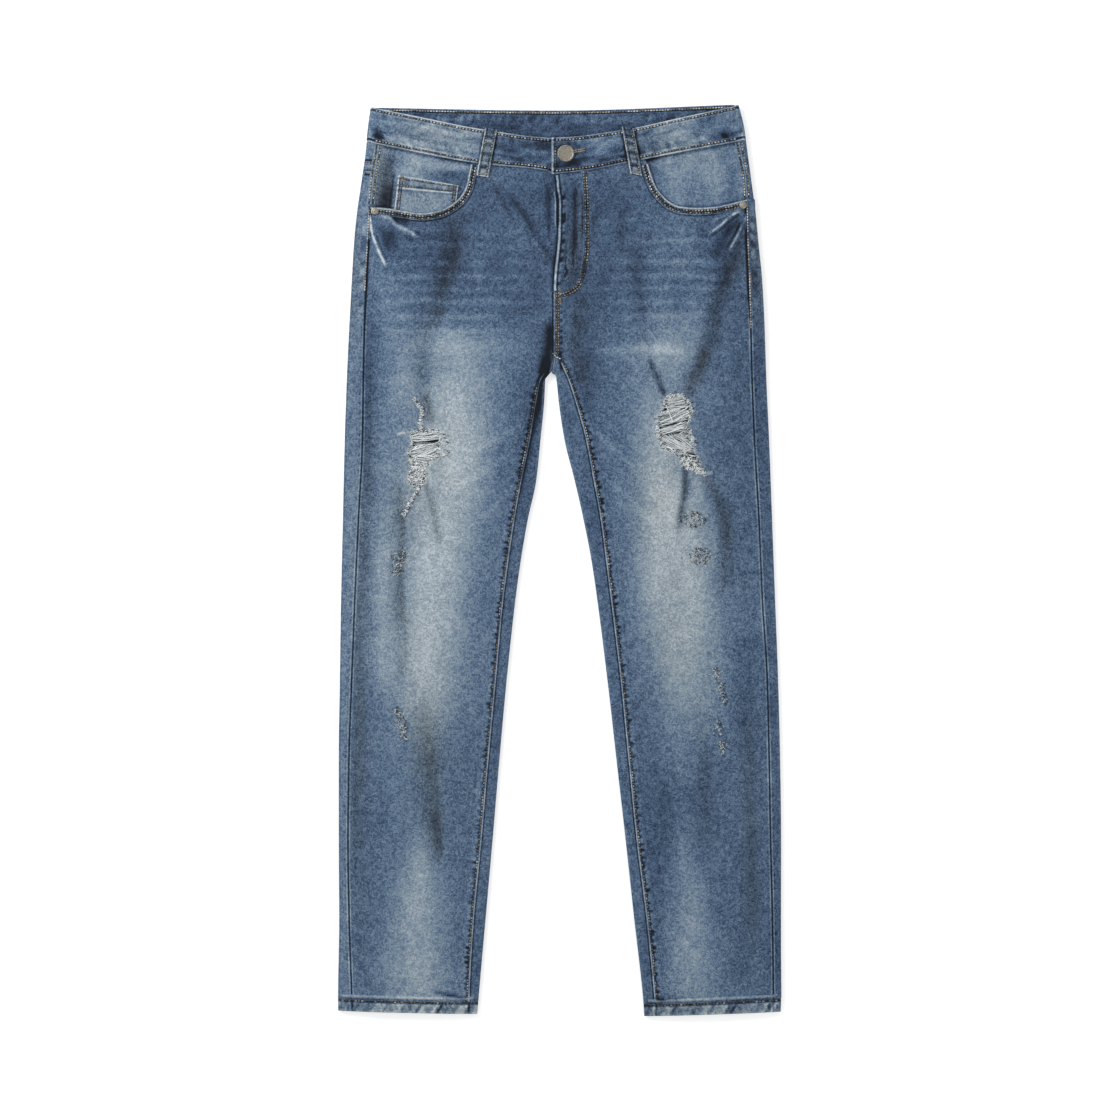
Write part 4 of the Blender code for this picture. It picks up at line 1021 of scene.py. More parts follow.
def back_panel(side):
    """The back leg panel, which wraps both edges of the leg onto the top side."""
    count = (9, 14)
    levels = np.concatenate([np.arange(BLEND_DROP, JUNCTION_DROP - 2, 4.6), [JUNCTION_DROP],
                             np.arange(JUNCTION_DROP + 2, 302, 2.4), np.arange(302, 980, 4.6)])

    def upper(x, on_top, share):
        return lerp(yoke_drop(side, x, on_top) + HALF_GAP, BLEND_DROP, share)

    sections = [back_arc(side, lambda x, on_top, k=k: upper(x, on_top, k / BACK_HIP_ROWS), False, count)
                for k in range(BACK_HIP_ROWS)]
    sections += [back_arc(side, lambda x, on_top, level=level: level, level >= JUNCTION_DROP, count)
                 for level in levels]
    sections.append(back_arc(side, lambda x, on_top: hem_line(side, "top", x) - GAP, True, count))
    legs_from = BACK_HIP_ROWS + int(np.argmax(levels >= JUNCTION_DROP))
    piece = back_sheet(f"back_{side}", sections, f"back_panel_{side}", legs_from)


def back_yoke(side):
    def drop_at(x, on_top, share):
        seam = band_seam[side](x) if on_top else back_seam(x)
        return lerp(seam + 0.2, yoke_drop(side, x, on_top) - HALF_GAP, share)

    sections = [back_arc(side, lambda x, on_top, k=k: drop_at(x, on_top, k / YOKE_STEPS), False, (12, 26))
                for k in range(YOKE_STEPS + 1)]
    piece = back_sheet(f"yoke_{side}", sections, f"back_yoke_{side}")


# ---------------------------------------------------------------- waistband

def band_relief(x, from_top, from_foot):
    """Height and tone of the waistband's face: rolled edges, stitch channels and puckers."""
    pucker = noise_line(x + 0.7 * from_foot, 4.6, 41) * bell(from_foot - 8, 5.0)
    small = noise_line(x - 0.3 * from_top, 3.6, 42) * bell(from_top - 6, 4)
    channel = bell(from_top - 3.0, 1.0) + bell(from_foot - 3.4, 1.0)
    height = (-0.7 * bell(from_top, 0.8) - 0.6 * bell(from_foot, 0.8) - 0.4 * channel
              + 0.5 * pucker + 0.25 * small + 0.3 * bell(from_foot - 11, 3))
    worn = 0.8 + 0.2 * noise_line(x, 9, 43)
    streaks = noise_plane(x * 0.14 + from_top * 0.05, from_top, 3.2, 44)
    slant = noise_plane(x * 0.5 + from_top * 0.8, from_top * 0.2 - x * 0.05, 5.0, 45)
    sides = ease((-x - 100) / 30) + ease((x - 84) / 30)
    wide = noise_line(x + 0.5 * from_foot, 5.6, 49) * bell(from_foot - 9.5, 5.0) * sides
    height = height + 0.6 * wide
    low_fold = bell(from_foot - 15.5 - 1.5 * noise_line(x, 14, 50), 1.6)
    tone = (0.62 * worn * bell(from_top - 0.5, 0.95) + 0.56 * worn * bell(from_foot - 0.6, 1.0)
            + 0.34 * wide - 0.06 * sides * bell(from_foot - 9, 5) - 0.09 * sides * low_fold
            - 0.66 * channel + 0.14 * bell(from_top - 5.0, 0.7) + 0.18 * bell(from_foot - 5.4, 0.8)
            + 0.15 * pucker + 0.10 * small + 0.15 * streaks + 0.13 * slant)
    return height, tone


# Tone of the waistband's face from side to side, as x and tone.
BAND_WASH = [(-210, 0.36), (-185, 0.43), (-165, 0.54), (-148, 0.65), (-110, 0.58), (-88, 0.43),
             (-60, 0.33), (-20, 0.27), (18, 0.24), (40, 0.34), (58, 0.31), (80, 0.30), (100, 0.42),
             (126, 0.66), (150, 0.50), (175, 0.33), (200, 0.36)]


def band_tone(x):
    """Wash of the waistband from side to side."""
    return np.interp(x, *np.transpose(BAND_WASH))


def loop_shade(x, drop):
    """Painted shadow: the dark line along both sides of each front belt loop, on the band behind it."""
    shade = 0.0
    for (x0, drop0), (x1, drop1) in FRONT_LOOPS.values():
        beside = np.abs(x - lerp(x0, x1, (drop - drop0) / (drop1 - drop0))) - LOOP_WIDTH / 2
        shade = shade - 0.34 * bell(beside - 0.8, 1.5)
    return shade


def band_surface(x, drop):
    """Height and tone of the waistband's outer face on the top side."""
    height, _ = cloth_field(x, drop)
    seam = np.where(x < LAP_X, band_seam["right"](x), band_seam["left"](x))
    rise, shade = band_relief(x, drop - front_top(x), seam - drop)
    return height + BAND_PROUD + rise, band_tone(x) + shade


def inside_surface(x, drop):
    """Height and tone of the inside of the back waistband, seen above the front."""
    return underside(drop) + BAND_CLOTH + 0.1, np.full(np.shape(x), 0.30)


def under_surface(x, drop):
    return underside(drop) - 0.05, np.full(np.shape(x), BACK_TONE)


def ground_surface(x, drop):
    """The height of the floor that the jeans lie on."""
    return np.zeros(np.shape(x)), None


def waistband():
    """One band all round: its left end laps over its right end."""
    shares = spread(37.0, 8.0, 0.6, 1.6)
    start = LAP_X - 2.0
    left_end, right_end = (outer_edge[s](BAND_DROP) - SIGN[s] * BAND_FLAT_MARGIN for s in ("left", "right"))
    columns = []

    def face(xs, side, sinks=None):
        for i, x in enumerate(xs):
            drop = lerp(front_top(x), band_seam[side](x) - HALF_GAP, shares)
            height, _ = cloth_field(x + 0 * drop, drop)
            rise, shade = band_relief(x + 0 * drop, drop - front_top(x), band_seam[side](x) - drop)
            if side == "left":
                broken = 0.85 + 0.15 * noise_line(drop, 2.5, 48)
                rise = rise + 0.5 * bell(x - start - 1.6, 1.4) - 0.8 * bell(x - start, 0.7)
                shade = (shade * ease((x - start) / 4) + 0.60 * broken * bell(x - start - 1.4, 1.6)
                         - 0.40 * bell(x - start - 4.0, 0.9))
            sink = sinks[i] if sinks is not None else 0.0
            columns.append((x + 0 * drop, drop, height + BAND_PROUD + rise - sink,
                            band_tone(x) + shade + loop_shade(x, drop)))

    def fold(side):
        made = []
        for angle in np.radians(np.linspace(90, -90, 11)):
            edge_x = outer_edge[side](0.0)
            upper = lerp(front_top(edge_x), back_top(edge_x), 0.5)
            lower = band_seam[side](outer_edge[side](42.0)) - HALF_GAP
            drop = lerp(upper, lower, shares)
            edge = outer_edge[side](drop)
            middle = edge - SIGN[side] * BAND_FOLD_RADIUS
            high = cloth_field(middle, drop)[0] + BAND_PROUD
            low = underside(drop)
            x = middle + SIGN[side] * BAND_FOLD_RADIUS * math.cos(angle)
            rise, shade = band_relief(edge + 20 * angle, drop - upper, lower - drop)
            z = (high + low) / 2 + (high - low) / 2 * math.sin(angle)
            made.append((x, drop, z + 0.5 * rise * math.sin(angle), 0.5 + shade))
        return made

    face(np.concatenate([np.arange(start, start + 8, 0.7), np.arange(start + 8, left_end, 1.3)]),
         "left")
    columns += fold("left")
    for x in np.linspace(left_end, right_end, 250)[1:-1]:
        drop = lerp(back_top(x), back_seam(x) - HALF_GAP, shares)
        down = drop - back_top(x)
        rise, shade = band_relief(x + 0 * drop, down, back_seam(x) - drop)
        pucker = noise_line(x + 0.3 * down, 4.2, 46)
        shade = (0.5 * shade + (0.10 + 0.16 * pucker) * bell(down - 10, 5) - 0.12 * bell(down - 2.6, 1.2)
                 + 0.10 * bell(down - 25 - noise_line(x, 30, 47), 1.3))
        columns.append((x + 0 * drop, drop, underside(drop) - 0.3 * np.abs(rise), 0.23 + shade))
    columns += fold("right")[::-1]
    lap = np.arange(start - 22, start + LAP_LENGTH, 1.3)
    sink = (BAND_CLOTH + LAP_GAP) * ease((lap - start + 18) / 15)
    face(np.arange(right_end, start - 22, 1.3), "right")
    face(lap, "right", sink)
    x, drop, z, tone = (np.array(values).T for values in zip(*columns))
    piece = cloth_grid("band", (x, drop, z), tone, BAND_DENIM, BAND_CLOTH, "waistband",
                       slot="denim_band")


# ---------------------------------------------------------------- hems

HEM_TONE = {"right": 0.61, "left": 0.55}


def hem(side):
    """The turned-up band round the foot of a leg, puckered along its stitching."""
    inwards = -SIGN[side]
    rows, shares = [], np.linspace(0, 1, 16)
    for share in shares:
        def drop_of(x, share=share):
            return lerp(hem_line(side, "top", x) + HALF_GAP, hem_line(side, "foot", x), share)
        outer = outer_edge[side](drop_of(outer_edge[side](LENGTH)))
        inner = inner_edge[side](drop_of(inner_edge[side](LENGTH)))
        first, last = outer + inwards * BAND_FOLD_RADIUS, inner - inwards * BAND_FOLD_RADIUS
        top = np.linspace(last, first, 118)
        parts = [(top, cloth_field(top, drop_of(top))[0] + BAND_PROUD, np.ones(118))]
        for edge, middle, turn in ((outer, first, inwards), (inner, last, -inwards)):
            angles = np.radians(np.linspace(90, -90, 11)[1:])
            high = cloth_field(np.array([middle]), drop_of(np.array([middle])))[0] + BAND_PROUD
            x = middle - turn * BAND_FOLD_RADIUS * np.cos(angles)
            z = high / 2 + high / 2 * np.sin(angles)
            parts.append((x, z, np.clip(np.sin(angles), 0, 1)))
        under = np.linspace(first, last, 60)
        ring_x = np.concatenate([parts[0][0], parts[1][0], under[1:], parts[2][0][::-1][1:]])
        ring_z = np.concatenate([parts[0][1], parts[1][1], np.zeros(59), parts[2][1][::-1][1:]])
        weight = np.concatenate([parts[0][2], parts[1][2], np.zeros(59), parts[2][2][::-1][1:]])
        drop = drop_of(ring_x)
        width = hem_line(side, "foot", ring_x) - hem_line(side, "top", ring_x)
        from_top, from_foot = share * width, (1 - share) * width
        rope = noise_line(ring_x + 0.5 * from_top, 4.6, 51) * ease((from_top - 1.5) / 3)
        fine = noise_line(ring_x - 0.4 * from_top, 2.1, 52)
        rise = (0.5 * rope + 0.15 * fine - 0.3 * bell(from_top, 0.8) - 0.7 * bell(from_foot, 1.4)
                - 0.4 * bell(from_top - HEM_STITCH, 0.8))
        mark = ticks(ring_x + 260 + 0.6 * from_top, 17, 54 + SIGN[side]) * ease((from_top - 2.5) / 2)
        shade = (0.32 * rope + 0.12 * fine - 0.30 * mark - 0.58 * bell(from_top - HEM_STITCH, 1.5)
                 + 0.10 * bell(from_top - 4.2, 1.0) + 0.20 * bell(from_foot - 1.0, 1.4))
        for seam_x in (outseam[side](LENGTH), inseam[side](LENGTH)):
            shade = shade - 0.45 * bell(ring_x - seam_x, 1.1) + 0.24 * bell(ring_x - seam_x + 2.2, 1.0)
        rows.append((ring_x, drop, ring_z + rise * weight, HEM_TONE[side] + shade))
    x, drop, z, tone = (np.array(values) for values in zip(*rows))
    piece = cloth_grid(f"cuff_{side}", (x, drop, z), tone, BAND_DENIM, HEM_CLOTH,
                       f"hem_{side}", closed=True, slot="denim_hem")


# ---------------------------------------------------------------- pockets and loops

FACING_DEPTH = {"right": 2.8, "left": 1.6}    # how far a facing lies below the front's outer face
FACING_TONE = {"right": 0.56, "left": 0.57}


def facing_depth(side, fraction, drop, seam):
    near_edges = ease(fraction / 0.12) * ease((drop - seam) / 25)
    return FACING_DEPTH[side] * np.maximum(ease((fraction - 0.32) / 0.10), near_edges)


def facing_surface(side, x, drop):
    outer, inner = outseam[side](drop), fly_edge(drop)
    fraction = (x - outer) / (inner - outer)
    height, _ = cloth_field(x, drop)
    tone = FACING_TONE[side] + 0.07 * noise_plane(x, drop * 0.6, 16, 61)
    if side == "right":
        # Painted shade in the dip between the side seam and the coin pocket, and a painted shadow line
        # along the coin pocket's outer edge.
        flat = np.exp(-((x + 195 + 0.09 * (drop - 90)) / 13)**4)
        flat = flat * lerp(0.4, 1.2, ease((x + 203 + 0.09 * (drop - 90)) / 15))
        tone = tone - (0.32 * ease((drop - 46) / 20) + 0.14 * ease((drop - 84) / 18)) * flat
        tone = tone - 0.30 * bell(x + 183.5 + 0.12 * (drop - 90), 1.6) * ease((drop - 70) / 10)
        # Darker at the inner end of the mouth: painted shade inside the pocket.
        tone = tone - 0.22 * bell(x + 84, 10) + 0.06 * bell(x + 158, 12)
        tone = tone - 0.32 * bell(x + 122, 22) * ease((drop - 70) / 6)
        tone = tone + 0.10 * bell(x + 112, 24) * ease((78 - drop) / 8)
    else:
        tone = tone + 0.05 * bell(x - 130, 34) * ease((95 - drop) / 25) - 0.08 * bell(x - 190, 12)
        # Painted shade inside the inner end of the mouth, and darker towards the mouth.
        tone = tone - 0.36 * bell(x - 96, 10) - 0.06 * ease((drop - 95) / 15)
    tone = tone + 0.07 * noise_plane(x * 0.6 - drop * 0.5, drop * 0.5 + x * 0.3, 7, 65)
    # Painted shadow just under the waistband's seam and just above the welt of the mouth.
    shade = bell(drop - band_seam[side](x) - 0.8, 2.2)
    welt_shadow = bell(mouth[side](np.clip(fraction, 0, 0.5)) - drop - 1.0, 1.8)
    return (height - facing_depth(side, fraction, drop, band_seam[side](x)),
            tone - 0.42 * shade - 0.22 * welt_shadow)


def pocket_facing(side):
    """The denim seen in the pocket mouth, tucked under the front panel."""
    fraction = np.linspace(0, FACING_END, 84)[None, :]
    foot = mouth[side](np.minimum(fraction, MOUTH_STEEP[side])) - HALF_GAP
    foot = foot + TUCK * ease((fraction - 0.10) / 0.06)
    seam = front_seam_drop(side, fraction)
    drop = lerp(seam, foot, np.linspace(0, 1, 56)[:, None])
    x = front_x(side, fraction, drop)
    z, tone = facing_surface(side, x, drop)
    piece = cloth_grid(f"facing_{side}", (x, drop, z), tone, DENIM, CLOTH,
                       f"pocket_facing_{side}", slot="denim_facing")


def coin_point(u, v):
    upper_outer, upper_inner, lower_inner, lower_outer = np.array(COIN_POCKET, float)
    u, v = np.asarray(u)[..., None], np.asarray(v)[..., None]
    spot = lerp(lerp(upper_outer, upper_inner, u), lerp(lower_outer, lower_inner, u), v)
    return spot[..., 0], spot[..., 1]


def coin_surface(x, drop):
    z, _ = facing_surface("right", x, drop)
    return z + 1.3, 0.61 + 0.05 * noise_plane(x, drop, 12, 66)


def coin_pocket():
    """The small pocket on the right-hand facing."""
    u, v = np.meshgrid(np.linspace(0, 1, 104), np.linspace(0, 1, 60))
    x, drop = coin_point(u, v)
    z, tone = coin_surface(x, drop)
    across, down = u * COIN_WIDTH, v * COIN_DEPTH
    edge = np.minimum(across, COIN_WIDTH - across)
    z = z - 0.5 * bell(down, 0.9) - 0.4 * bell(edge, 0.8) + 0.25 * bell(down - 5, 4)
    z = z - 0.3 * bell(down - 9.2, 0.8) + 0.15 * noise_plane(x, drop, 4, 62)
    tone = tone + 0.34 * bell(down - 0.6, 1.1) + 0.42 * bell(edge - 0.6, 0.9)
    tone = tone - 0.46 * (bell(down - 2.6, 0.8) + bell(down - 9.2, 0.8) + bell(edge - 2.5, 0.7)
                          + bell(edge - 5.2, 0.7))
    tone = tone + 0.44 * bell(down - 11.2, 0.9) + 0.20 * noise_line(across, 3, 67) * bell(down - 6, 3)
    tone = tone + 0.14 * noise_line(down, 3, 68) * bell(edge - 4, 3) - 0.20 * bell(down - 13.4, 0.9)
    piece = cloth_grid("watch_pocket", (x, drop, z), tone, DENIM, 0.8, "coin_pocket",
                       slot="denim_facing")


def back_pocket(side):
    """A plain patch pocket on the underside, with a pointed foot."""
    middle = BACK_POCKETS[side]
    v, across = np.meshgrid(np.linspace(0, 1, 50), np.linspace(-1, 1, 52), indexing="ij")
    width = lerp(76.0, 68.0, v)
    upper, lower = lerp(110.0, 108.0, np.abs(across)), lerp(258.0, 232.0, np.abs(across))
    x, drop = middle + across * width, lerp(upper, lower, v)
    edge = (1 - np.abs(across)) * width
    from_top, from_foot = drop - upper, lower - drop
    rim = np.minimum(edge, np.minimum(from_foot, from_top))
    z = 0.35 * bell(rim, 0.8) + 0.25 * bell(from_top - 13, 0.8)
    tone = (BACK_TONE + 0.22 * bell(rim - 0.5, 1.0) - 0.18 * bell(rim - 3, 0.9)
            - 0.15 * bell(from_top - 13, 0.9) + 0.06 * noise_plane(x, drop, 16, 63))
    piece = cloth_grid(f"patch_pocket_{side}", (x, drop, z), tone, DENIM, CLOTH,
                       f"back_pocket_{side}", faces_up=False, slot="denim_back")


def belt_loop(name, node, points, faces_up=True, count=(25, 84)):
    """A belt loop: points gives x, drop and height for a place across and along it."""
    across, along = np.meshgrid(np.linspace(-1, 1, count[0]), np.linspace(0, 1, count[1]))
    x, drop, z = points(across, along)
    edge = (1 - np.abs(across)) * LOOP_WIDTH / 2
    flip = 1 if faces_up else -1
    worn = 0.6 + 0.4 * noise_line(along * 50 + across * 40, 5, 71)
    z = z + flip * (-0.5 * bell(edge, 0.7) - 0.22 * bell(edge - 2.4, 0.6) + 0.15 * bell(edge - 6, 3)
                    + 0.12 * noise_line(along * 50, 2.6, 72))
    left_side = np.where(across < 0, 1.0, 0.6)
    x_tone = 0.49 - 0.08 * (np.mean(x) > 0)
    tone = x_tone + 0.66 * left_side * worn * bell(edge - 0.5, 0.8) - 0.56 * bell(edge - 2.6, 0.7)
    tone = tone + 0.55 * bell((1 - along) * 50 - 0.4, 1.0) + 0.14 * noise_line(along * 50, 3, 73)
    tone = tone + 0.30 * noise_line(along * 50, 2.6, 74) * bell(edge - 5, 2.6)
    tone = tone - 0.30 * bell(along * 50 - 9, 1.0) - 0.26 * bell((1 - along) * 50 - 9, 1.0)
    piece = cloth_grid(name, (x, drop, z), tone, BAND_DENIM, LOOP_CLOTH, node,
                       faces_up=faces_up, slot="denim_band")


def front_loop(side):
    (x0, drop0), (x1, drop1) = FRONT_LOOPS[side]

    def points(across, along):
        x = lerp(x0, x1, along) + across * LOOP_WIDTH / 2
        drop = lerp(drop0, drop1, along) + 1.2 * across
        height, _ = cloth_field(x, drop)
        return x, drop, height + BAND_PROUD + 0.3 + 1.6 + 0.7 * np.sin(np.pi * along)

    belt_loop(f"loop_front_{side}", f"belt_loop_front_{side}", points)


def back_loop(name, x):
    first, last = back_top(x) + 1, back_seam(x) + 12

    def points(across, along):
        return x + across * LOOP_WIDTH / 2, lerp(first, last, along), np.zeros(across.shape)

    belt_loop(f"loop_{name}", f"belt_loop_{name}", points, faces_up=False, count=(9, 22))


def fly_pieces():
    """The zip tape and the underlap behind the fly."""
    for name, node, low, high, foot, depth, finish, slot in (
            ("tape", "fly_zip", -10, 16, 199, 1.5, TAPE, "zip_tape"),
            ("underlap", "fly_underlap", -12, 36, FLY_FOOT, 2.6, DENIM, "denim_back")):
        offset, drop = np.meshgrid(np.linspace(low, high, 20), np.linspace(FLY_TOP, foot, 60))
        x = fly_edge(drop) + offset
        height, _ = cloth_field(x, drop)
        tone = 0.25 + 0.04 * noise_plane(x, drop, 8, 64)
        piece = cloth_grid(name, (x, drop, height - depth), tone, finish,
                           0.7 if name == "tape" else CLOTH, node, slot=slot)


# ---------------------------------------------------------------- metal pieces

def turned(name, node, profile, centre, finish, steps=56):
    """A turned metal piece from its (radius, height) profile."""
    turn = np.linspace(0, 2 * np.pi, steps, endpoint=False)
    profile = np.array(profile)
    x = centre[0] + profile[:, :1] * np.cos(turn)
    drop = centre[1] + profile[:, :1] * np.sin(turn)
    z = np.broadcast_to(centre[2] + profile[:, 1:], x.shape)
    i = np.arange(x.size).reshape(x.shape)
    j = np.roll(i, -1, 1)
    faces = np.stack([i[:-1], i[1:], j[1:], j[:-1]], -1).reshape(-1, 4)
    made = build_mesh(name, np.stack([x, drop, z], -1).reshape(-1, 3), faces, finish)
    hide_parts(node)


def button():
    """A tack button with a dished cap."""
    height = cloth_field(np.array([BUTTON_X]), np.array([BUTTON_DROP]))[0][0] + BAND_PROUD
    profile = [(0.05, 2.35), (2.5, 2.35), (5.0, 2.36), (7.2, 2.38), (7.6, 2.45), (8.0, 2.7),
               (8.5, 2.75), (9.0, 2.5), (BUTTON_RADIUS, 2.0), (BUTTON_RADIUS, 1.2), (8.9, 0.7),
               (8.2, 0.5), (2.2, 0.4), (2.2, -1.5)]
    turned("jean_button", "button", profile, (BUTTON_X, BUTTON_DROP, height), BUTTON_METAL)


def rivet(side):
    x, drop = RIVETS[side]
    spots = np.array([x - RIVET_RADIUS, x, x + RIVET_RADIUS])
    height = cloth_field(spots, np.full(3, drop))[0].max()
    profile = [(0.05, 2.15), (0.6, 2.1), (1.0, 1.85), (1.3, 1.5), (1.8, 1.42), (2.9, 1.5), (3.5, 1.35),
               (4.0, 0.9), (4.2, 0.4), (4.1, 0.05), (3.0, 0.0)]
    turned(f"pocket_rivet_{side}", f"rivet_{side}", profile, (x, drop, height + 0.2), RIVET_METAL,
           40)


# ---------------------------------------------------------------- seams and stitching

J_STITCH = [(27.1, 73.5), (29.2, 113), (29.5, 156), (27.6, 175.5), (21.0, 198.5), (12.0, 206.0),
            (3.0, 209.4), (-2.5, 210.6)]
SIDE_DARK = {"right": 0.3, "left": 1.9}      # how far the side seam's shadow lies from it at the hip
SIDE_ROW = {"right": -1.4, "left": 0.0}      # the same for the row of stitches there
POCKET_SIDE_ROW = 2.3       # rows each side of the seam beside the pocket facing
YOKE_ROWS = (6.2, -1.1)     # rows of the yoke seam where it turns over the side
FLY_TACK = ((-0.5, 199.5), (0.5, 219.5))
HIP_TACKS = {"right": (-214.6, 190.0), "left": (208.5, 186.0)}


def seam_profiles(side):
    """The reliefs of a leg's long seams and pocket mouth, for strip().

    d is the distance from the seam: towards the leg's middle at the inseam and side seam, and down
    into the front panel at the pocket mouth.
    """
    sign = SIGN[side]

    def inner(s, offset):
        d = offset * sign
        mark = ticks(s, 5.8, 21 + sign)
        reach = 7.0 + 2.4 * noise_line(s, 4.0, 22)
        tick = (mark * ease((d - 2.6) / 0.9) * ease((reach - d) / 3.0)
                * lerp(0.35, 1.0, ease((s - 20) / 50)))
        between = (1 - mark) * ease((d - 2.6) / 1.0) * ease((9 - d) / 4)
        height = (0.3 * ease(d / 0.8) - 0.7 * bell(d + 1.1, 0.7) + 0.3 * bell(d - 0.2, 0.8)
                  - 0.7 * tick + 0.3 * between)
        worn = 0.8 + 0.2 * noise_line(s, 9, 23)
        tone = (-0.42 * bell(d + 1.2, 0.75) + 0.62 * worn * bell(d - 0.1, 0.8) - 0.46 * bell(d - 2.1, 1.1)
                - 0.46 * tick + 0.10 * between + 0.08 * ease((-d - 2.0) / 2))
        return height, tone * ease(s / 8)

    def outer(s, offset):
        d = offset * -sign
        worn = 0.55 + 0.45 * noise_line(s, 6, 27)
        hip = ease((150 - s) / 60)
        blob = ticks(s, 8.5, 25 + sign) * (0.55 - 0.35 * hip)
        blotch = hip * ease((-d - 1.8) / 1.4) * (0.15 + noise_line(s + 0.6 * d, 6.5, 26 + sign))
        side_of = np.where(d < 0, 1.0, 0.45 * (1 - hip))
        mark = blob * side_of * ease((np.abs(d) - 2.2) / 0.8) * ease((3.0 + 4.5 * blob - np.abs(d)) / 1.4)
        line = 0.9 + 0.2 * noise_line(s, 40, 28) + 0.2 * hip
        dark_at = hip * SIDE_DARK[side]
        pale = (0.26 + 0.20 * worn) * (0.75 + 0.35 * noise_line(s, 26, 33 + sign))
        pale = pale * ((1 - hip) * bell(d + 1.65, 0.66) + (1 - hip) * bell(d - 1.65, 0.66))
        height = (-0.7 * bell(d - dark_at, 0.7) + 0.25 * bell(np.abs(d) - 1.6, 0.9) - 0.5 * mark
                  + 0.4 * blotch)
        tone = -0.62 * line * bell(d - dark_at, 0.75 + 0.35 * hip) + pale - 0.42 * mark + 0.26 * blotch
        return height, tone

    def welt(s, offset):
        d = offset * sign
        pucker = noise_line(s + 0.4 * d, 2.7, 29)
        worn = 0.85 + 0.15 * noise_line(s, 8, 30)
        row = bell(d - 3.1, 0.75) + bell(d - 5.7, 0.75)
        height = (0.9 * bell(d - 0.9, 1.4) - 0.5 * row + 0.3 * pucker * bell(d - 5, 3.0)
                  - 0.4 * ease((d - 7.5) / 1.5))
        # The dark line at d 8.6, where the welt steps down onto the panel, is painted shade; the pale line
        # at d 0.9 is the worn edge.
        tone = (0.66 * worn * bell(d - 0.9, 1.15) - 0.62 * row - 0.12 * bell(d - 4.4, 0.6)
                + 0.22 * bell(d - 7.0, 0.7) + 0.10 * pucker * bell(d - 6, 3.0)
                - 0.30 * bell(d - 8.6, 0.9))
        return height, tone

    def yoke_seam(s, d):
        row = bell(d - YOKE_ROWS[0], 0.8) + bell(d - YOKE_ROWS[1], 0.8)
        fold = bell(d - YOKE_ROWS[0] - 3.6, 1.1) + bell(d - YOKE_ROWS[1] + 5.1, 1.4)
        return (-0.6 * fold - 0.3 * row + 0.3 * bell(d - 3.5, 2.0),
                -0.58 * fold - 0.44 * row + 0.16 * bell(d - 3.5, 1.6) + 0 * s)

    def pocket_side(s, d):
        row = bell(np.abs(d) - POCKET_SIDE_ROW, 0.8)
        return (-0.4 * row + 0.3 * bell(d, 1.4),
                -0.54 * row + 0.24 * bell(d, 1.0) + 0.26 * bell(np.abs(d) - 3.7, 0.7) + 0 * s)

    return inner, outer, welt, yoke_seam, pocket_side


def long_seams(side):
    """Inseam, side seam and pocket mouth of one side, with their stitching."""
    sign = SIGN[side]
    cloth, sewing = Pile(), Pile()
    inner, outer, welt, yoke_seam, pocket_side = seam_profiles(side)
    first, last = (292.0 if side == "right" else 279.0), HEMS[side].top_inner - 0.5
    inside_line = seam_line(inseam[side], first, last)
    strip(cloth, inside_line, *sorted((-4.0 * sign, 11.0 * sign)), 27, inner, step=1.25)
    stitches(sewing, seam_line(inseam[side], first + (12 if side == "right" else 2), last), sign * 2.1,
             pitch=3.1, gap=1.3, radius=0.68, tone=0.47, seed=81, ragged=0.3)
    outside_line = seam_line(outseam[side], MOUTH[side][0][1], HEMS[side].top_outer - 0.5)
    strip(cloth, outside_line, -9.0, 9.0, 25, outer, step=1.25)
    upper = seam_line(outseam[side], band_seam[side](outseam[side](WAIST_SEAM_DROP)) + 1, MOUTH[side][0][1])
    strip(cloth, upper, -5.0, 5.0, 16, pocket_side, soft=1.0)
    edge = mouth_line(side)
    strip(cloth, edge, *sorted((-0.6 * sign, 10.6 * sign)), 19, welt, lift=0.4, soft=1.0)
    rows(sewing, edge, ((sign * 3.1, 82), (sign * 5.7, 83)), tone=0.56, ragged=0.34, pitch=3.3,
         gap=1.3)
    rows(sewing, upper, ((-POCKET_SIDE_ROW, 84), (POCKET_SIDE_ROW, 87)), tone=0.62, radius=0.66,
         lift=0.3, ragged=0.34)
    hip = seam_line(outseam[side], MOUTH[side][0][1] + 2, 208.0 if side == "right" else 250.0)
    stitches(sewing, hip, -sign * SIDE_ROW[side], seed=88, tone=0.74, radius=0.66)
    ends = [(outer_edge[side](YOKE_SIDE_DROP) - sign * 1.5, YOKE_SIDE_DROP + 1.0),
            (outseam[side](YOKE_SIDE_DROP) + sign * 0.5, YOKE_SIDE_DROP + 1.5)]
    yoke_line = Line(ends if sign < 0 else ends[::-1])
    strip(cloth, yoke_line, -8.0, 13.0, 24, yoke_seam, soft=1.0, step=0.8)
    rows(sewing, yoke_line, zip(YOKE_ROWS, (85, 86)), tone=0.5, radius=0.64)
    x, drop = HIP_TACKS[side]
    bar_tack(sewing, (x, drop), (x + 0.6 * sign, drop + 9), 2.6, 0.52, seed=86)
    hem_x = np.linspace(outer_edge[side](LENGTH) - sign * 4, inner_edge[side](LENGTH) + sign * 4, 30)
    fold = trace(hem_x, hem_line(side, "top", hem_x) - 3.0)

    # A raised line just above the hem, drawn paler, with a painted shadow line beside it.
    def above_hem(s, d):
        wave = noise_line(s, 9, 31)
        return (0.5 * bell(d + 1.2 * sign, 1.3) - 0.6 * bell(d - 1.8 * sign, 0.9),
                (0.30 + 0.10 * wave) * bell(d + 1.0 * sign, 1.3) - (0.24 + 0.1 * wave)
                * bell(d - 2.0 * sign, 0.9))

    strip(cloth, fold, -3.6, 3.6, 10, above_hem)
    cloth.build(f"seams_{side}", DENIM, "denim_front")
    sewing.build(f"stitching_{side}", THREAD, "denim_front")


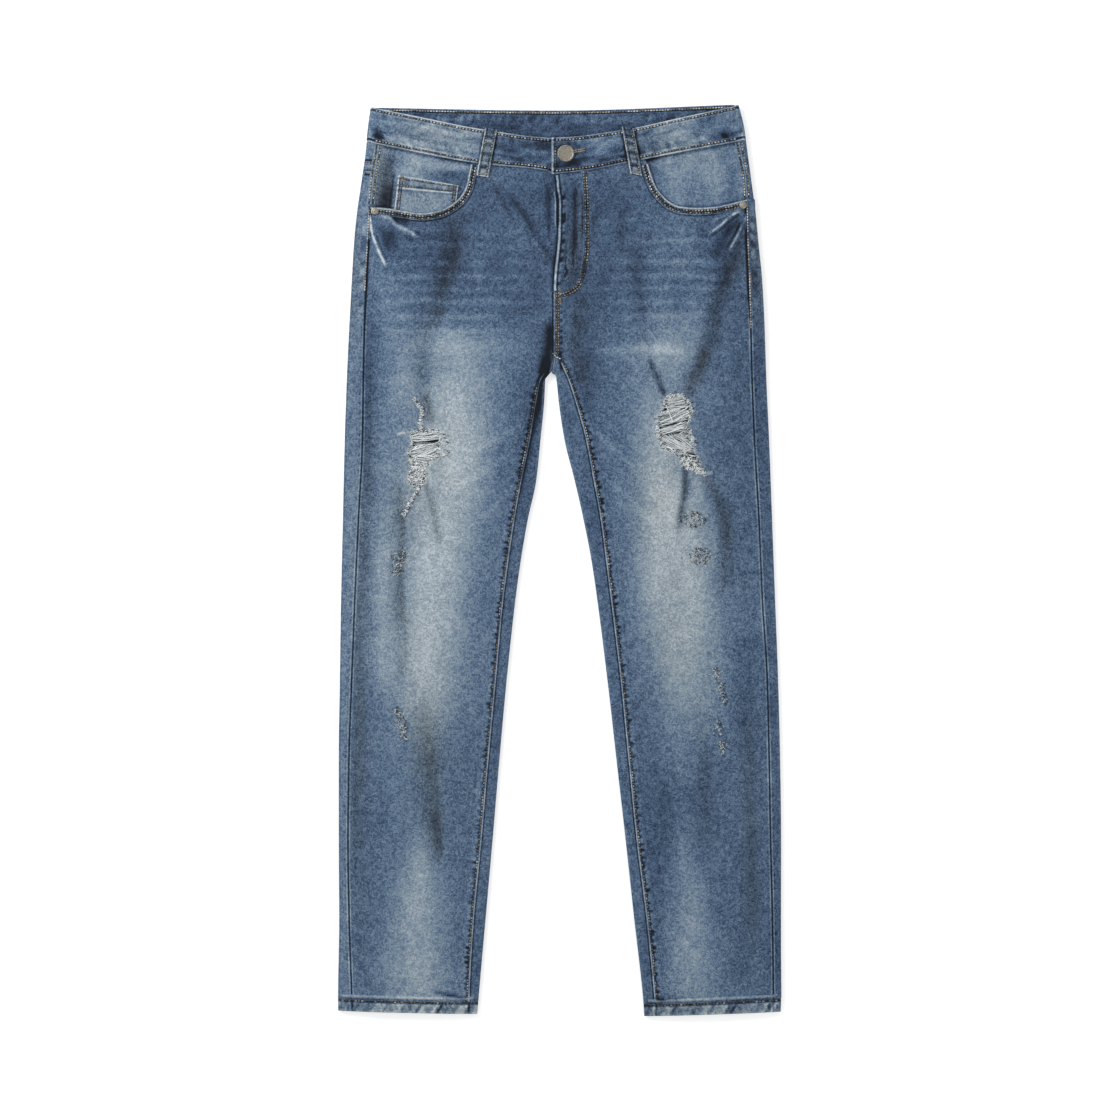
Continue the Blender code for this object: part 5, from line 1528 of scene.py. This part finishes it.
def bar_tack(pile, start, end, width, tone, seed=1, surface=None, lift=0.35):
    """A dense block of cross stitches between two points."""
    surface = surface or top_surface
    start, end = np.array(start, float), np.array(end, float)
    run = end - start
    length = np.linalg.norm(run)
    run /= length
    count = int(length / 0.62)
    random = np.random.RandomState(seed)
    middles = start + np.linspace(0, 1, count)[:, None] * (end - start)
    across = np.array([run[1], -run[0]])
    t = np.linspace(-1, 1, 5)
    half = width / 2 * random.uniform(0.85, 1.1, (count, 1))
    x = middles[:, :1] + across[0] * half * t + run[0] * 0.35 * t
    drop = middles[:, 1:] + across[1] * half * t + run[1] * 0.35 * t
    z, _ = surface(x, drop)
    z = z + lift + 0.25 * (1 - t**2)
    tones = np.clip(tone + 0.2 * random.uniform(-1, 1, (count, 1)) + 0 * t, 0, 1)
    tubes(pile, np.stack([x, drop, z], -1), 0.33 * np.array([0.5, 1, 1, 1, 0.5])[None], tones)


def fly_stitching(cloth, sewing):
    """Fly edge, J-stitch and centre seam."""
    def lap(s, offset):
        d = offset - 0.6 + 2.0 * ease(s / 22) - 0.9 * ease((s - 30) / 45)
        worn = 0.85 + 0.12 * noise_line(s, 7, 91) + 0.15 * noise_line(s, 1.8, 90)
        mark = ticks(0.66 * s + 0.3 * d, 6.6, 92) * ease((s - 10) / 12)
        slit = ease((s - 15) / 6) * ease((60 - s) / 8)
        height = (0.9 * bell(d, 1.6) - 1.2 * slit * bell(d + 2.0, 0.9) - 0.5 * bell(d + 2.0, 0.8)
                  - 0.6 * mark * bell(d - 4.4, 1.6) + 0.5 * slit * bell(d + 4.6, 0.9))
        # The dark line beside the lapped edge, darkest in the open slit, is painted shadow; the pale lines
        # are worn edges.
        tone = (0.62 * worn * np.exp(-(d / 1.3)**4) - (0.36 + 1.1 * slit) * bell(d + 2.2, 0.9 + 0.45 * slit)
                + 0.66 * slit * worn * bell(d + 4.6, 0.9) - 0.12 * ease((s - 60) / 10) * bell(d + 4, 2)
                - 0.34 * bell(d - 2.2, 0.8) + 0.14 * (1 - mark) * bell(d - 4.6, 1.6)
                - 0.40 * mark * bell(d - 4.6, 1.9))
        return height, tone

    edge = Line([(fly_edge(k), k) for k in np.arange(FLY_TOP, 207.0, 6.0)])
    strip(cloth, edge, -8.5, 9.5, 30, lap, lift=0.7, soft=2.4)
    curve_line = Line(J_STITCH)

    def channel(s, d):
        pucker = noise_line(s + 0.5 * d, 2.6, 93)
        height = -0.35 * bell(np.abs(d) - 1.4, 0.6) + 0.3 * pucker * bell(d, 3.2)
        return height, (-0.52 * bell(np.abs(d) - 1.4, 0.8) + 0.14 * pucker * bell(d, 3.2)
                        + 0.10 * bell(np.abs(d) - 3.2, 0.8))

    strip(cloth, curve_line, -4.6, 4.6, 14, channel)
    rows(sewing, curve_line, ((-1.4, 94), (1.4, 95)), tone=0.50, radius=0.66)
    centre = Line([(fly_edge(k), k) for k in np.arange(206.0, 276.5, 5.0)])

    def ridge(s, d):
        worn = 0.6 + 0.4 * noise_line(s, 5, 96)
        row = bell(d - 0.8, 0.7) + bell(d - 3.4, 0.7)
        mark = ticks(s, 7.0, 98) * bell(d - 6.4, 1.6)
        height = 0.45 * bell(d + 1.1, 1.1) - 0.6 * bell(d + 2.7, 0.6) - 0.3 * row - 0.5 * mark
        return height, (0.50 * worn * bell(d + 1.2, 0.9) - 0.40 * bell(d + 2.8, 0.9) - 0.46 * row
                        - 0.40 * mark)

    strip(cloth, centre, -6.0, 9.5, 24, ridge)
    rows(sewing, centre, ((0.8, 97), (3.4, 98)), tone=0.52, radius=0.62)
    bar_tack(sewing, *FLY_TACK, 2.4, 0.42, seed=99)
    junction = Line([(-9.0, 272.5), (-3.5, 277.5), (2.5, 280.0)])
    stitches(sewing, junction, tone=0.70, seed=96, radius=0.66)


def band_stitching(cloth, sewing):
    """The rows of the waistband and its front loops, and the buttonhole."""
    for side, first, last in (("right", -203, LAP_X - 3.0), ("left", -5.5, 193)):
        x = np.linspace(first, last, 60)
        for drops, seed in ((front_top(x) + 3.0, 101), (band_seam[side](x) - 3.5, 102)):
            stitches(sewing, trace(x, drops), surface=band_surface, tone=0.66, seed=seed, ragged=0.3,
                     lift=0.3, pitch=3.6, gap=1.5, radius=0.78)
    end = Line([(LAP_X + 2.3, front_top(-4.0) + 4.0), (LAP_X + 2.3, 75.0)])
    stitches(sewing, end, surface=band_surface, tone=0.40, seed=103, lift=0.2)
    x = np.linspace(-196, 186, 80)
    stitches(sewing, trace(x, back_top(x) + 2.6), surface=inside_surface, tone=0.72, seed=104,
             lift=0.35, radius=0.8)
    for drops in (back_top(x) + 2.8, back_seam(x) - 2.8):
        stitches(sewing, trace(x, drops), surface=under_surface, face=-1, seed=105)
    for side in SIGN:
        (x0, drop0), (x1, drop1) = FRONT_LOOPS[side]

        def loop_surface(x, drop):
            share = np.clip((drop - drop0) / (drop1 - drop0), 0, 1)
            return (cloth_field(x, drop)[0] + BAND_PROUD + 1.9 + 0.7 * np.sin(np.pi * share),
                    np.full(np.shape(x), 0.4))

        for d in (-3.9, 3.9):
            row = Line([(x0 + d, drop0 + 2), (x1 + d, drop1 - 1)])
            stitches(sewing, row, surface=loop_surface, tone=0.42, seed=106 + int(d), lift=0.15,
                     radius=0.6)
        bar_tack(sewing, (x1 - 4.5, drop1 - 3), (x1 + 4.5, drop1 - 2.2), 1.8, 0.6, seed=109,
                 surface=loop_surface)
    slit = Line([(BUTTON_X + 8.5, BUTTON_DROP - 2.2), (BUTTON_X + 20.5, BUTTON_DROP - 4.4)])
    strip(cloth, slit, -1.4, 1.4, 6, lambda s, d: (-0.5 * bell(d, 0.5), -0.5 * bell(d, 0.6) + 0 * s),
          surface=band_surface, step=0.8)
    for d in (-1.0, 1.0):
        row = slit.beside(d)
        bar_tack(sewing, row.points[0], row.points[-1], 1.5, 0.6, seed=110, surface=band_surface,
                 lift=0.2)


def worn_ridge(cloth, number, ridge):
    """A crisp worn crease of the top side."""
    line = Line(ridge.path)

    def fold(s, d):
        ends = ease(s / 7) * ease((line.length - s) / 12)
        ragged = 0.78 + 0.45 * noise_line(s, 3.6, 250 + number)
        beside = bell(d - np.sign(ridge.shade) * 2.6 * ridge.width, 1.6 * ridge.width)
        height = 0.7 * bell(d, 1.2 * ridge.width) - 0.8 * beside
        return height * ends, (ridge.tone * ragged * bell(d, ridge.width)
                               - abs(ridge.shade) * beside) * ends

    strip(cloth, line, -7.0, 7.0, 22, fold, lift=0.3, soft=3.0)


def fly_band_and_ridges():
    cloth, sewing = Pile(), Pile()
    fly_stitching(cloth, sewing)
    band_stitching(cloth, sewing)
    for number, ridge in enumerate(RIDGES):
        worn_ridge(cloth, number, ridge)
    cloth.build("seams_fly", DENIM, "denim_front")
    sewing.build("stitching_fly_band", THREAD, "denim_band")


def pocket_and_hem_stitching():
    """Rows on the coin pocket, the yokes, the back pockets and the hems."""
    sewing = Pile()
    t = np.linspace(0, 1, 12)
    for u, v, seed in ((t, 0.07 + 0 * t, 121), (t, 0.25 + 0 * t, 122), (0.035 + 0 * t, t, 123),
                       (0.075 + 0 * t, t, 124), (0.925 + 0 * t, t, 125), (0.965 + 0 * t, t, 126)):
        stitches(sewing, trace(*coin_point(u, v)), surface=coin_surface, tone=0.42, seed=seed,
                 lift=0.1)
    for u in (0.11, 0.88):
        upper, lower = np.column_stack(coin_point(np.array([u, u]), np.array([0.04, 0.22])))
        bar_tack(sewing, upper, lower, 1.8, 0.55, seed=127, surface=coin_surface, lift=0.3)
    for side in SIGN:
        hem_x = np.linspace(outer_edge[side](LENGTH) - SIGN[side] * 3,
                            inner_edge[side](LENGTH) + SIGN[side] * 3, 40)
        drops = hem_line(side, "top", hem_x) + HEM_STITCH + 0.3 * noise_line(hem_x, 12, 128)

        def hem_surface(x, drop):
            return cloth_field(x, drop)[0] + BAND_PROUD - 0.2, np.full(np.shape(x), 0.4)

        stitches(sewing, trace(hem_x, drops), surface=hem_surface, tone=0.34, seed=129, lift=0.1,
                 pitch=3.6, gap=1.1, ragged=0.3)
        stitches(sewing, trace(hem_x, drops), face=-1, tone=0.44, seed=130, surface=ground_surface,
                 lift=0.0)
        outer = outer_edge[side](YOKE_SIDE_DROP)
        x = np.linspace(outer - SIGN[side] * 3, CENTRE_BACK_X + SIGN[side] * 1, 30)
        for d, seed in ((2.5, 131), (6.0, 132)):
            drops = yoke_drop(side, x, False) + d
            stitches(sewing, trace(x, drops), surface=under_surface, face=-1, seed=seed, tone=0.4)
        middle = BACK_POCKETS[side]
        for d, seed in ((3.0, 133), (6.5, 134)):
            outline = [(middle - 76 + d, 110), (middle - 68 + d, 232 - d * 0.6), (middle, 258 - d * 1.1),
                       (middle + 68 - d, 232 - d * 0.6), (middle + 76 - d, 110)]
            for a, b in zip(outline, outline[1:]):
                stitches(sewing, Line([a, b]), face=-1, seed=seed, tone=0.4,
                         surface=ground_surface, lift=0.0)
    sewing.build("stitching_pockets_hems", THREAD, "denim_front")


# ---------------------------------------------------------------- torn threads and scuffs

# Bare weft threads of each torn hole lie in zones: the drop where each zone ends, the lean of its
# threads and how closely they lie.
Zone = namedtuple("Zone", "foot lean cover")
WEFTS = {
    "right": (Zone(369.2, -0.10, 1.0), Zone(372.8, 0.02, 0.22), Zone(386, -0.42, 1.0),
              Zone(401, 0.10, 0.75), Zone(430, -0.20, 0.85)),
    "left": (Zone(334, -0.22, 0.7), Zone(348, -0.42, 1.0), Zone(362, -0.25, 0.8),
             Zone(380, 0.55, 0.9), Zone(420, 0.20, 0.7)),
}
BINDERS = {"right": [((-158, 362), (-146, 362), (-136, 359)), ((-160, 366), (-146, 367), (-134, 363))],
           "left": [((116, 330), (120, 340), (124, 349)), ((110, 349), (124, 343), (140, 332)),
                    ((112, 352), (127, 347), (141, 338)), ((112, 362), (122, 359), (136, 354))]}

TEAR_SHADE = {"right": 0.0, "left": 0.03}    # how much darker the threads of each hole are
# Middles of the tufts of curled thread that fill the narrow foot of each hole.
TUFTS = {"right": ((-158, 393), (-154, 397), (-159, 402), (-154, 404), (-158, 411), (-153, 412)),
         "left": ((139, 383), (135, 390), (141, 391), (146, 396), (150, 402), (140, 397))}


def crossings(outline, drop, lean, middle):
    """Where a slanting line at this drop enters and leaves an outline."""
    points = np.array(outline, float)
    ys = points[:, 1] - lean * (points[:, 0] - middle)
    found = []
    for i in range(len(points)):
        y0, y1 = ys[i], ys[(i + 1) % len(points)]
        if (y0 > drop) != (y1 > drop):
            t = (drop - y0) / (y1 - y0)
            found.append(lerp(points[i, 0], points[(i + 1) % len(points), 0], t))
    return min(found), max(found)


def curls(pile, centres, drops, length, radius, tone, seed, spread=1.0, lift=0.35, lean=None):
    """Add short curled thread ends lying on the cloth."""
    random = np.random.RandomState(seed)
    count = len(centres)
    heading = random.uniform(0, 2 * np.pi, count) if lean is None else \
        lean + random.normal(0, 0.5, count)
    bend = random.uniform(-2.6, 2.6, count) * spread
    size = length * random.uniform(0.5, 1.3, count)
    t = np.linspace(0, 1, 6)
    angle = heading[:, None] + bend[:, None] * (t - 0.5)
    step = size[:, None] / 5
    x, drop = (middles[:, None] + np.cumsum(turn(angle) * step, 1)
               - size[:, None] * 0.5 * turn(heading)[:, None]
               for middles, turn in ((centres, np.cos), (drops, np.sin)))
    z, _ = cloth_field(x, drop)
    z = z + lift + random.uniform(0, 0.5, (count, 1)) + 0.35 * np.sin(np.pi * t)
    tones = np.clip(tone + random.uniform(-0.2, 0.2, (count, 1)) + 0 * t, 0, 1)
    tubes(pile, np.stack([x, drop, z], -1), radius * np.array([0.5, 0.9, 1, 1, 0.9, 0.5])[None],
          tones, sides=4)


def wefts(side, pile, random):
    """Wefts left across the hole, and loose binders over them."""
    outline = TEARS[side]
    middle = np.mean([x for x, _ in outline])
    t = np.linspace(0, 1, 11)
    paths, tones, radii = [], [], []
    top = min(drop for _, drop in outline) + 0.4
    for zone in WEFTS[side]:
        ys = [drop - zone.lean * (x - middle) for x, drop in outline]
        slant = abs(zone.lean) * 14
        for layer, pitch in enumerate((1.0, 1.3, 1.9)):
            for drop in np.arange(top - slant, zone.foot + slant, pitch):
                drop = drop + random.uniform(-0.35, 0.35)
                if random.uniform() > zone.cover or not min(ys) + 0.5 < drop < max(ys) - 0.5:
                    continue
                first, last = crossings(outline, drop, zone.lean, middle)
                first, last = first - random.uniform(0.2, 1.2), last + random.uniform(0.2, 1.2)
                x = lerp(first, last, t)
                extra = (0.04, 0.14, 0.26)[layer] * random.uniform(-1, 1)
                y = drop + (zone.lean + extra) * (x - middle) + random.uniform(0.3, 1.4) * noise_line(
                    x, 5, random.randint(1, 9999)) + 1.2 * np.sin(np.pi * t) * random.uniform(-0.6, 1)
                held = (y > top - 0.6) & (y < zone.foot + 0.6)
                if not held.all():
                    if held.sum() < 4:
                        continue
                    x, y = (np.interp(t, np.linspace(0, 1, held.sum()), v[held]) for v in (x, y))
                z = cloth_field(x, y)[0] - 0.6 + (0, 0.45, 0.95)[layer] + 0.35 * noise_line(
                    x, 5, random.randint(1, 9999)) - 0.3 * np.sin(np.pi * t)
                paths.append(np.stack([x, y, z], -1))
                # The lower layers are drawn darker: painted shade under the threads above them.
                tone = (0.68, 0.82, 0.92)[layer] - TEAR_SHADE[side] + random.uniform(-0.26, 0.10)
                tones.append(tone + 0.16 * noise_line(x, 4, random.randint(1, 9999)))
                radii.append(random.uniform(0.36, 0.62) * np.array([.5, .9, 1, 1, 1, 1, 1, 1, 1, .9, .5]))
        top = zone.foot
    for points in BINDERS[side]:
        line = Line(points)
        for _ in range(2):
            spots, _ = line.at(np.linspace(0, line.length, 11))
            wave = 0.6 * noise_line(np.linspace(0, line.length, 11), 8, random.randint(1, 9999))
            x, y = spots[:, 0] + wave, spots[:, 1] + wave * 0.3
            paths.append(np.stack([x, y, cloth_field(x, y)[0] + 1.0], -1))
            tones.append(np.full(11, 0.92))
            radii.append(np.full(11, 0.45))
    tubes(pile, np.array(paths), np.array(radii), np.clip(np.array(tones), 0, 1), sides=5)


def fray(side, pile, random):
    """Tufts at the foot of the hole, and the fray round and beyond its rim; the dark curls set among and
    beside the pale ones are painted shadow.
    """
    tufts = np.array(TUFTS[side])
    for tone, radius, lift, share in ((0.88, 0.46, 1.0, 12), (0.10, 0.34, 0.4, 4)):
        spots = np.repeat(tufts, share, 0) + random.normal(0, 2.3, (len(tufts) * share, 2))
        curls(pile, spots[:, 0], spots[:, 1], 4.2, radius, tone, random.randint(1, 9999), spread=1.6,
              lift=lift)
    rim = Line(TEARS[side] + TEARS[side][:1])
    for count, tone, length, shift, radius in ((170, 0.84, 3.0, 0.4, 0.36), (90, 0.10, 2.8, 1.2, 0.32),
                                               (60, 0.60, 2.4, 1.5, 0.30)):
        spots, run = rim.at(random.uniform(0, rim.length, count))
        away = random.normal(-0.3, shift, (count, 1))
        spots = spots + away * np.column_stack([run[:, 1], -run[:, 0]])
        curls(pile, spots[:, 0], spots[:, 1], length, radius, tone, random.randint(1, 9999))
    for path in FRAYS:
        if (path[0][0] > 0) != (SIGN[side] > 0):
            continue
        line = Line(path)
        count = int(line.length * 2.6)
        for tone, offset, radius in ((0.84, 0.0, 0.38), (0.08, 0.9, 0.32)):
            spots, run = line.at(random.uniform(0, line.length, count))
            spots = spots + random.normal(offset, 1.1, (count, 1)) * np.column_stack(
                [run[:, 1], -run[:, 0]])
            curls(pile, spots[:, 0], spots[:, 1], 2.9, radius, tone, random.randint(1, 9999),
                  lean=0.15 if side == "right" else -0.3)
            count //= 3


def torn_threads(side):
    pile, random = Pile(), np.random.RandomState(140 + SIGN[side])
    wefts(side, pile, random)
    fray(side, pile, random)
    pile.build(f"torn_threads_{side}", WEFT, "denim_front")


def scuffs():
    """Small rubbed places where the weft shows as curled threads; each set of pale curls has a dark copy
    shifted beside it, a painted shadow.
    """
    pile = Pile()
    for number, scuff in enumerate(SCUFFS):
        random = np.random.RandomState(160 + number)
        for count, tone, radius, shift in ((scuff.threads, 0.74, 0.34, 0.0),
                                           (scuff.threads, 0.08, 0.32, 0.7)):
            dy = random.uniform(-1, 1, count) * scuff.along
            dx = random.normal(0, 0.55, count) * scuff.across * np.sqrt(
                np.maximum(1 - (dy / scuff.along)**2, 0.1)) + scuff.lean * dy
            curls(pile, scuff.x + dx + shift, scuff.drop + dy + shift, 3.2, radius, tone,
                  170 + number * 3 + int(tone * 10), spread=1.5)
    pile.build("scuffs", WEFT, "denim_front")


# ---------------------------------------------------------------- floor, light, camera

def stage():
    """A plain pale floor that keeps the jeans' shadow and reads white in the camera."""
    bpy.ops.mesh.primitive_plane_add(size=30, location=(0, 0, -0.0006))
    floor = bpy.context.object
    floor.name = "floor"
    n = Nodes("floor")
    n.shader.inputs["Base Color"].default_value = (0.86, 0.86, 0.86, 1)
    n.set(Roughness=0.9, Specular_IOR_Level=0.1)
    glow = n.add("ShaderNodeEmission")
    glow.inputs["Strength"].default_value = 1.0
    path = n.add("ShaderNodeLightPath")
    seen = n.math("MAXIMUM", path.outputs["Is Camera Ray"], path.outputs["Is Glossy Ray"])
    n.link(n.math("MULTIPLY", seen, 0.45), glow.inputs["Strength"])
    both = n.add("ShaderNodeAddShader")
    n.link(n.shader.outputs["BSDF"], both.inputs[0])
    n.link(glow.outputs["Emission"], both.inputs[1])
    n.link(both.outputs["Shader"], n.tree.nodes["Material Output"].inputs["Surface"])
    floor.data.materials.append(n.material)


def lights():
    """Soft studio light: a large lamp beyond the waist on the left, and an even pale world."""
    scene = bpy.context.scene
    world_light = bpy.data.worlds.new("studio")
    world_light.use_nodes = True
    tree = world_light.node_tree
    back = tree.nodes["Background"]
    path = tree.nodes.new("ShaderNodeLightPath")
    mix = tree.nodes.new("ShaderNodeMath")
    mix.operation = "MULTIPLY_ADD"
    tree.links.new(path.outputs["Is Camera Ray"], mix.inputs[0])
    mix.inputs[1].default_value = 0.45
    mix.inputs[2].default_value = 0.55
    tree.links.new(mix.outputs[0], back.inputs["Strength"])
    back.inputs["Color"].default_value = (1, 1, 1, 1)
    scene.world = world_light
    for name, place, size, power in (("key", (-1.5, 1.3, 1.5), 1.0, 34),
                                     ("fill", (1.8, -1.0, 2.2), 2.0, 10)):
        data = bpy.data.lights.new(name, "AREA")
        data.size = size
        data.energy = power
        lamp = bpy.data.objects.new(name, data)
        scene.collection.objects.link(lamp)
        lamp.location = place
        aim = -np.array(place)
        lamp.rotation_euler = (math.atan2(math.hypot(aim[0], aim[1]), -aim[2]), 0,
                               math.atan2(aim[1], aim[0]) - math.pi / 2)


def camera():
    """Straight above the middle of the jeans, with the waist at the top of the view."""
    data = bpy.data.cameras.new("camera")
    data.lens, data.sensor_width = 85.0, 36.0
    view_width, middle = 1.228, 0.0005
    made = bpy.data.objects.new("camera", data)
    bpy.context.scene.collection.objects.link(made)
    made.location = (middle, middle, view_width * data.lens / data.sensor_width + 0.008)
    made.rotation_euler = (0, 0, 0)
    bpy.context.scene.camera = made
    bpy.context.scene.view_settings.view_transform = "Standard"


# ---------------------------------------------------------------- the whole scene

for side in SIGN:
    front_panel(side)
    back_panel(side)
    back_yoke(side)
    tear_patch(side)
    pocket_facing(side)
    back_pocket(side)
    hem(side)
    front_loop(side)
    rivet(side)
    long_seams(side)
    torn_threads(side)
scuffs()
for loop, loop_x in BACK_LOOPS.items():
    back_loop(loop, loop_x)
coin_pocket()
fly_pieces()
waistband()
button()
fly_band_and_ridges()
pocket_and_hem_stitching()
stage()
lights()
camera()
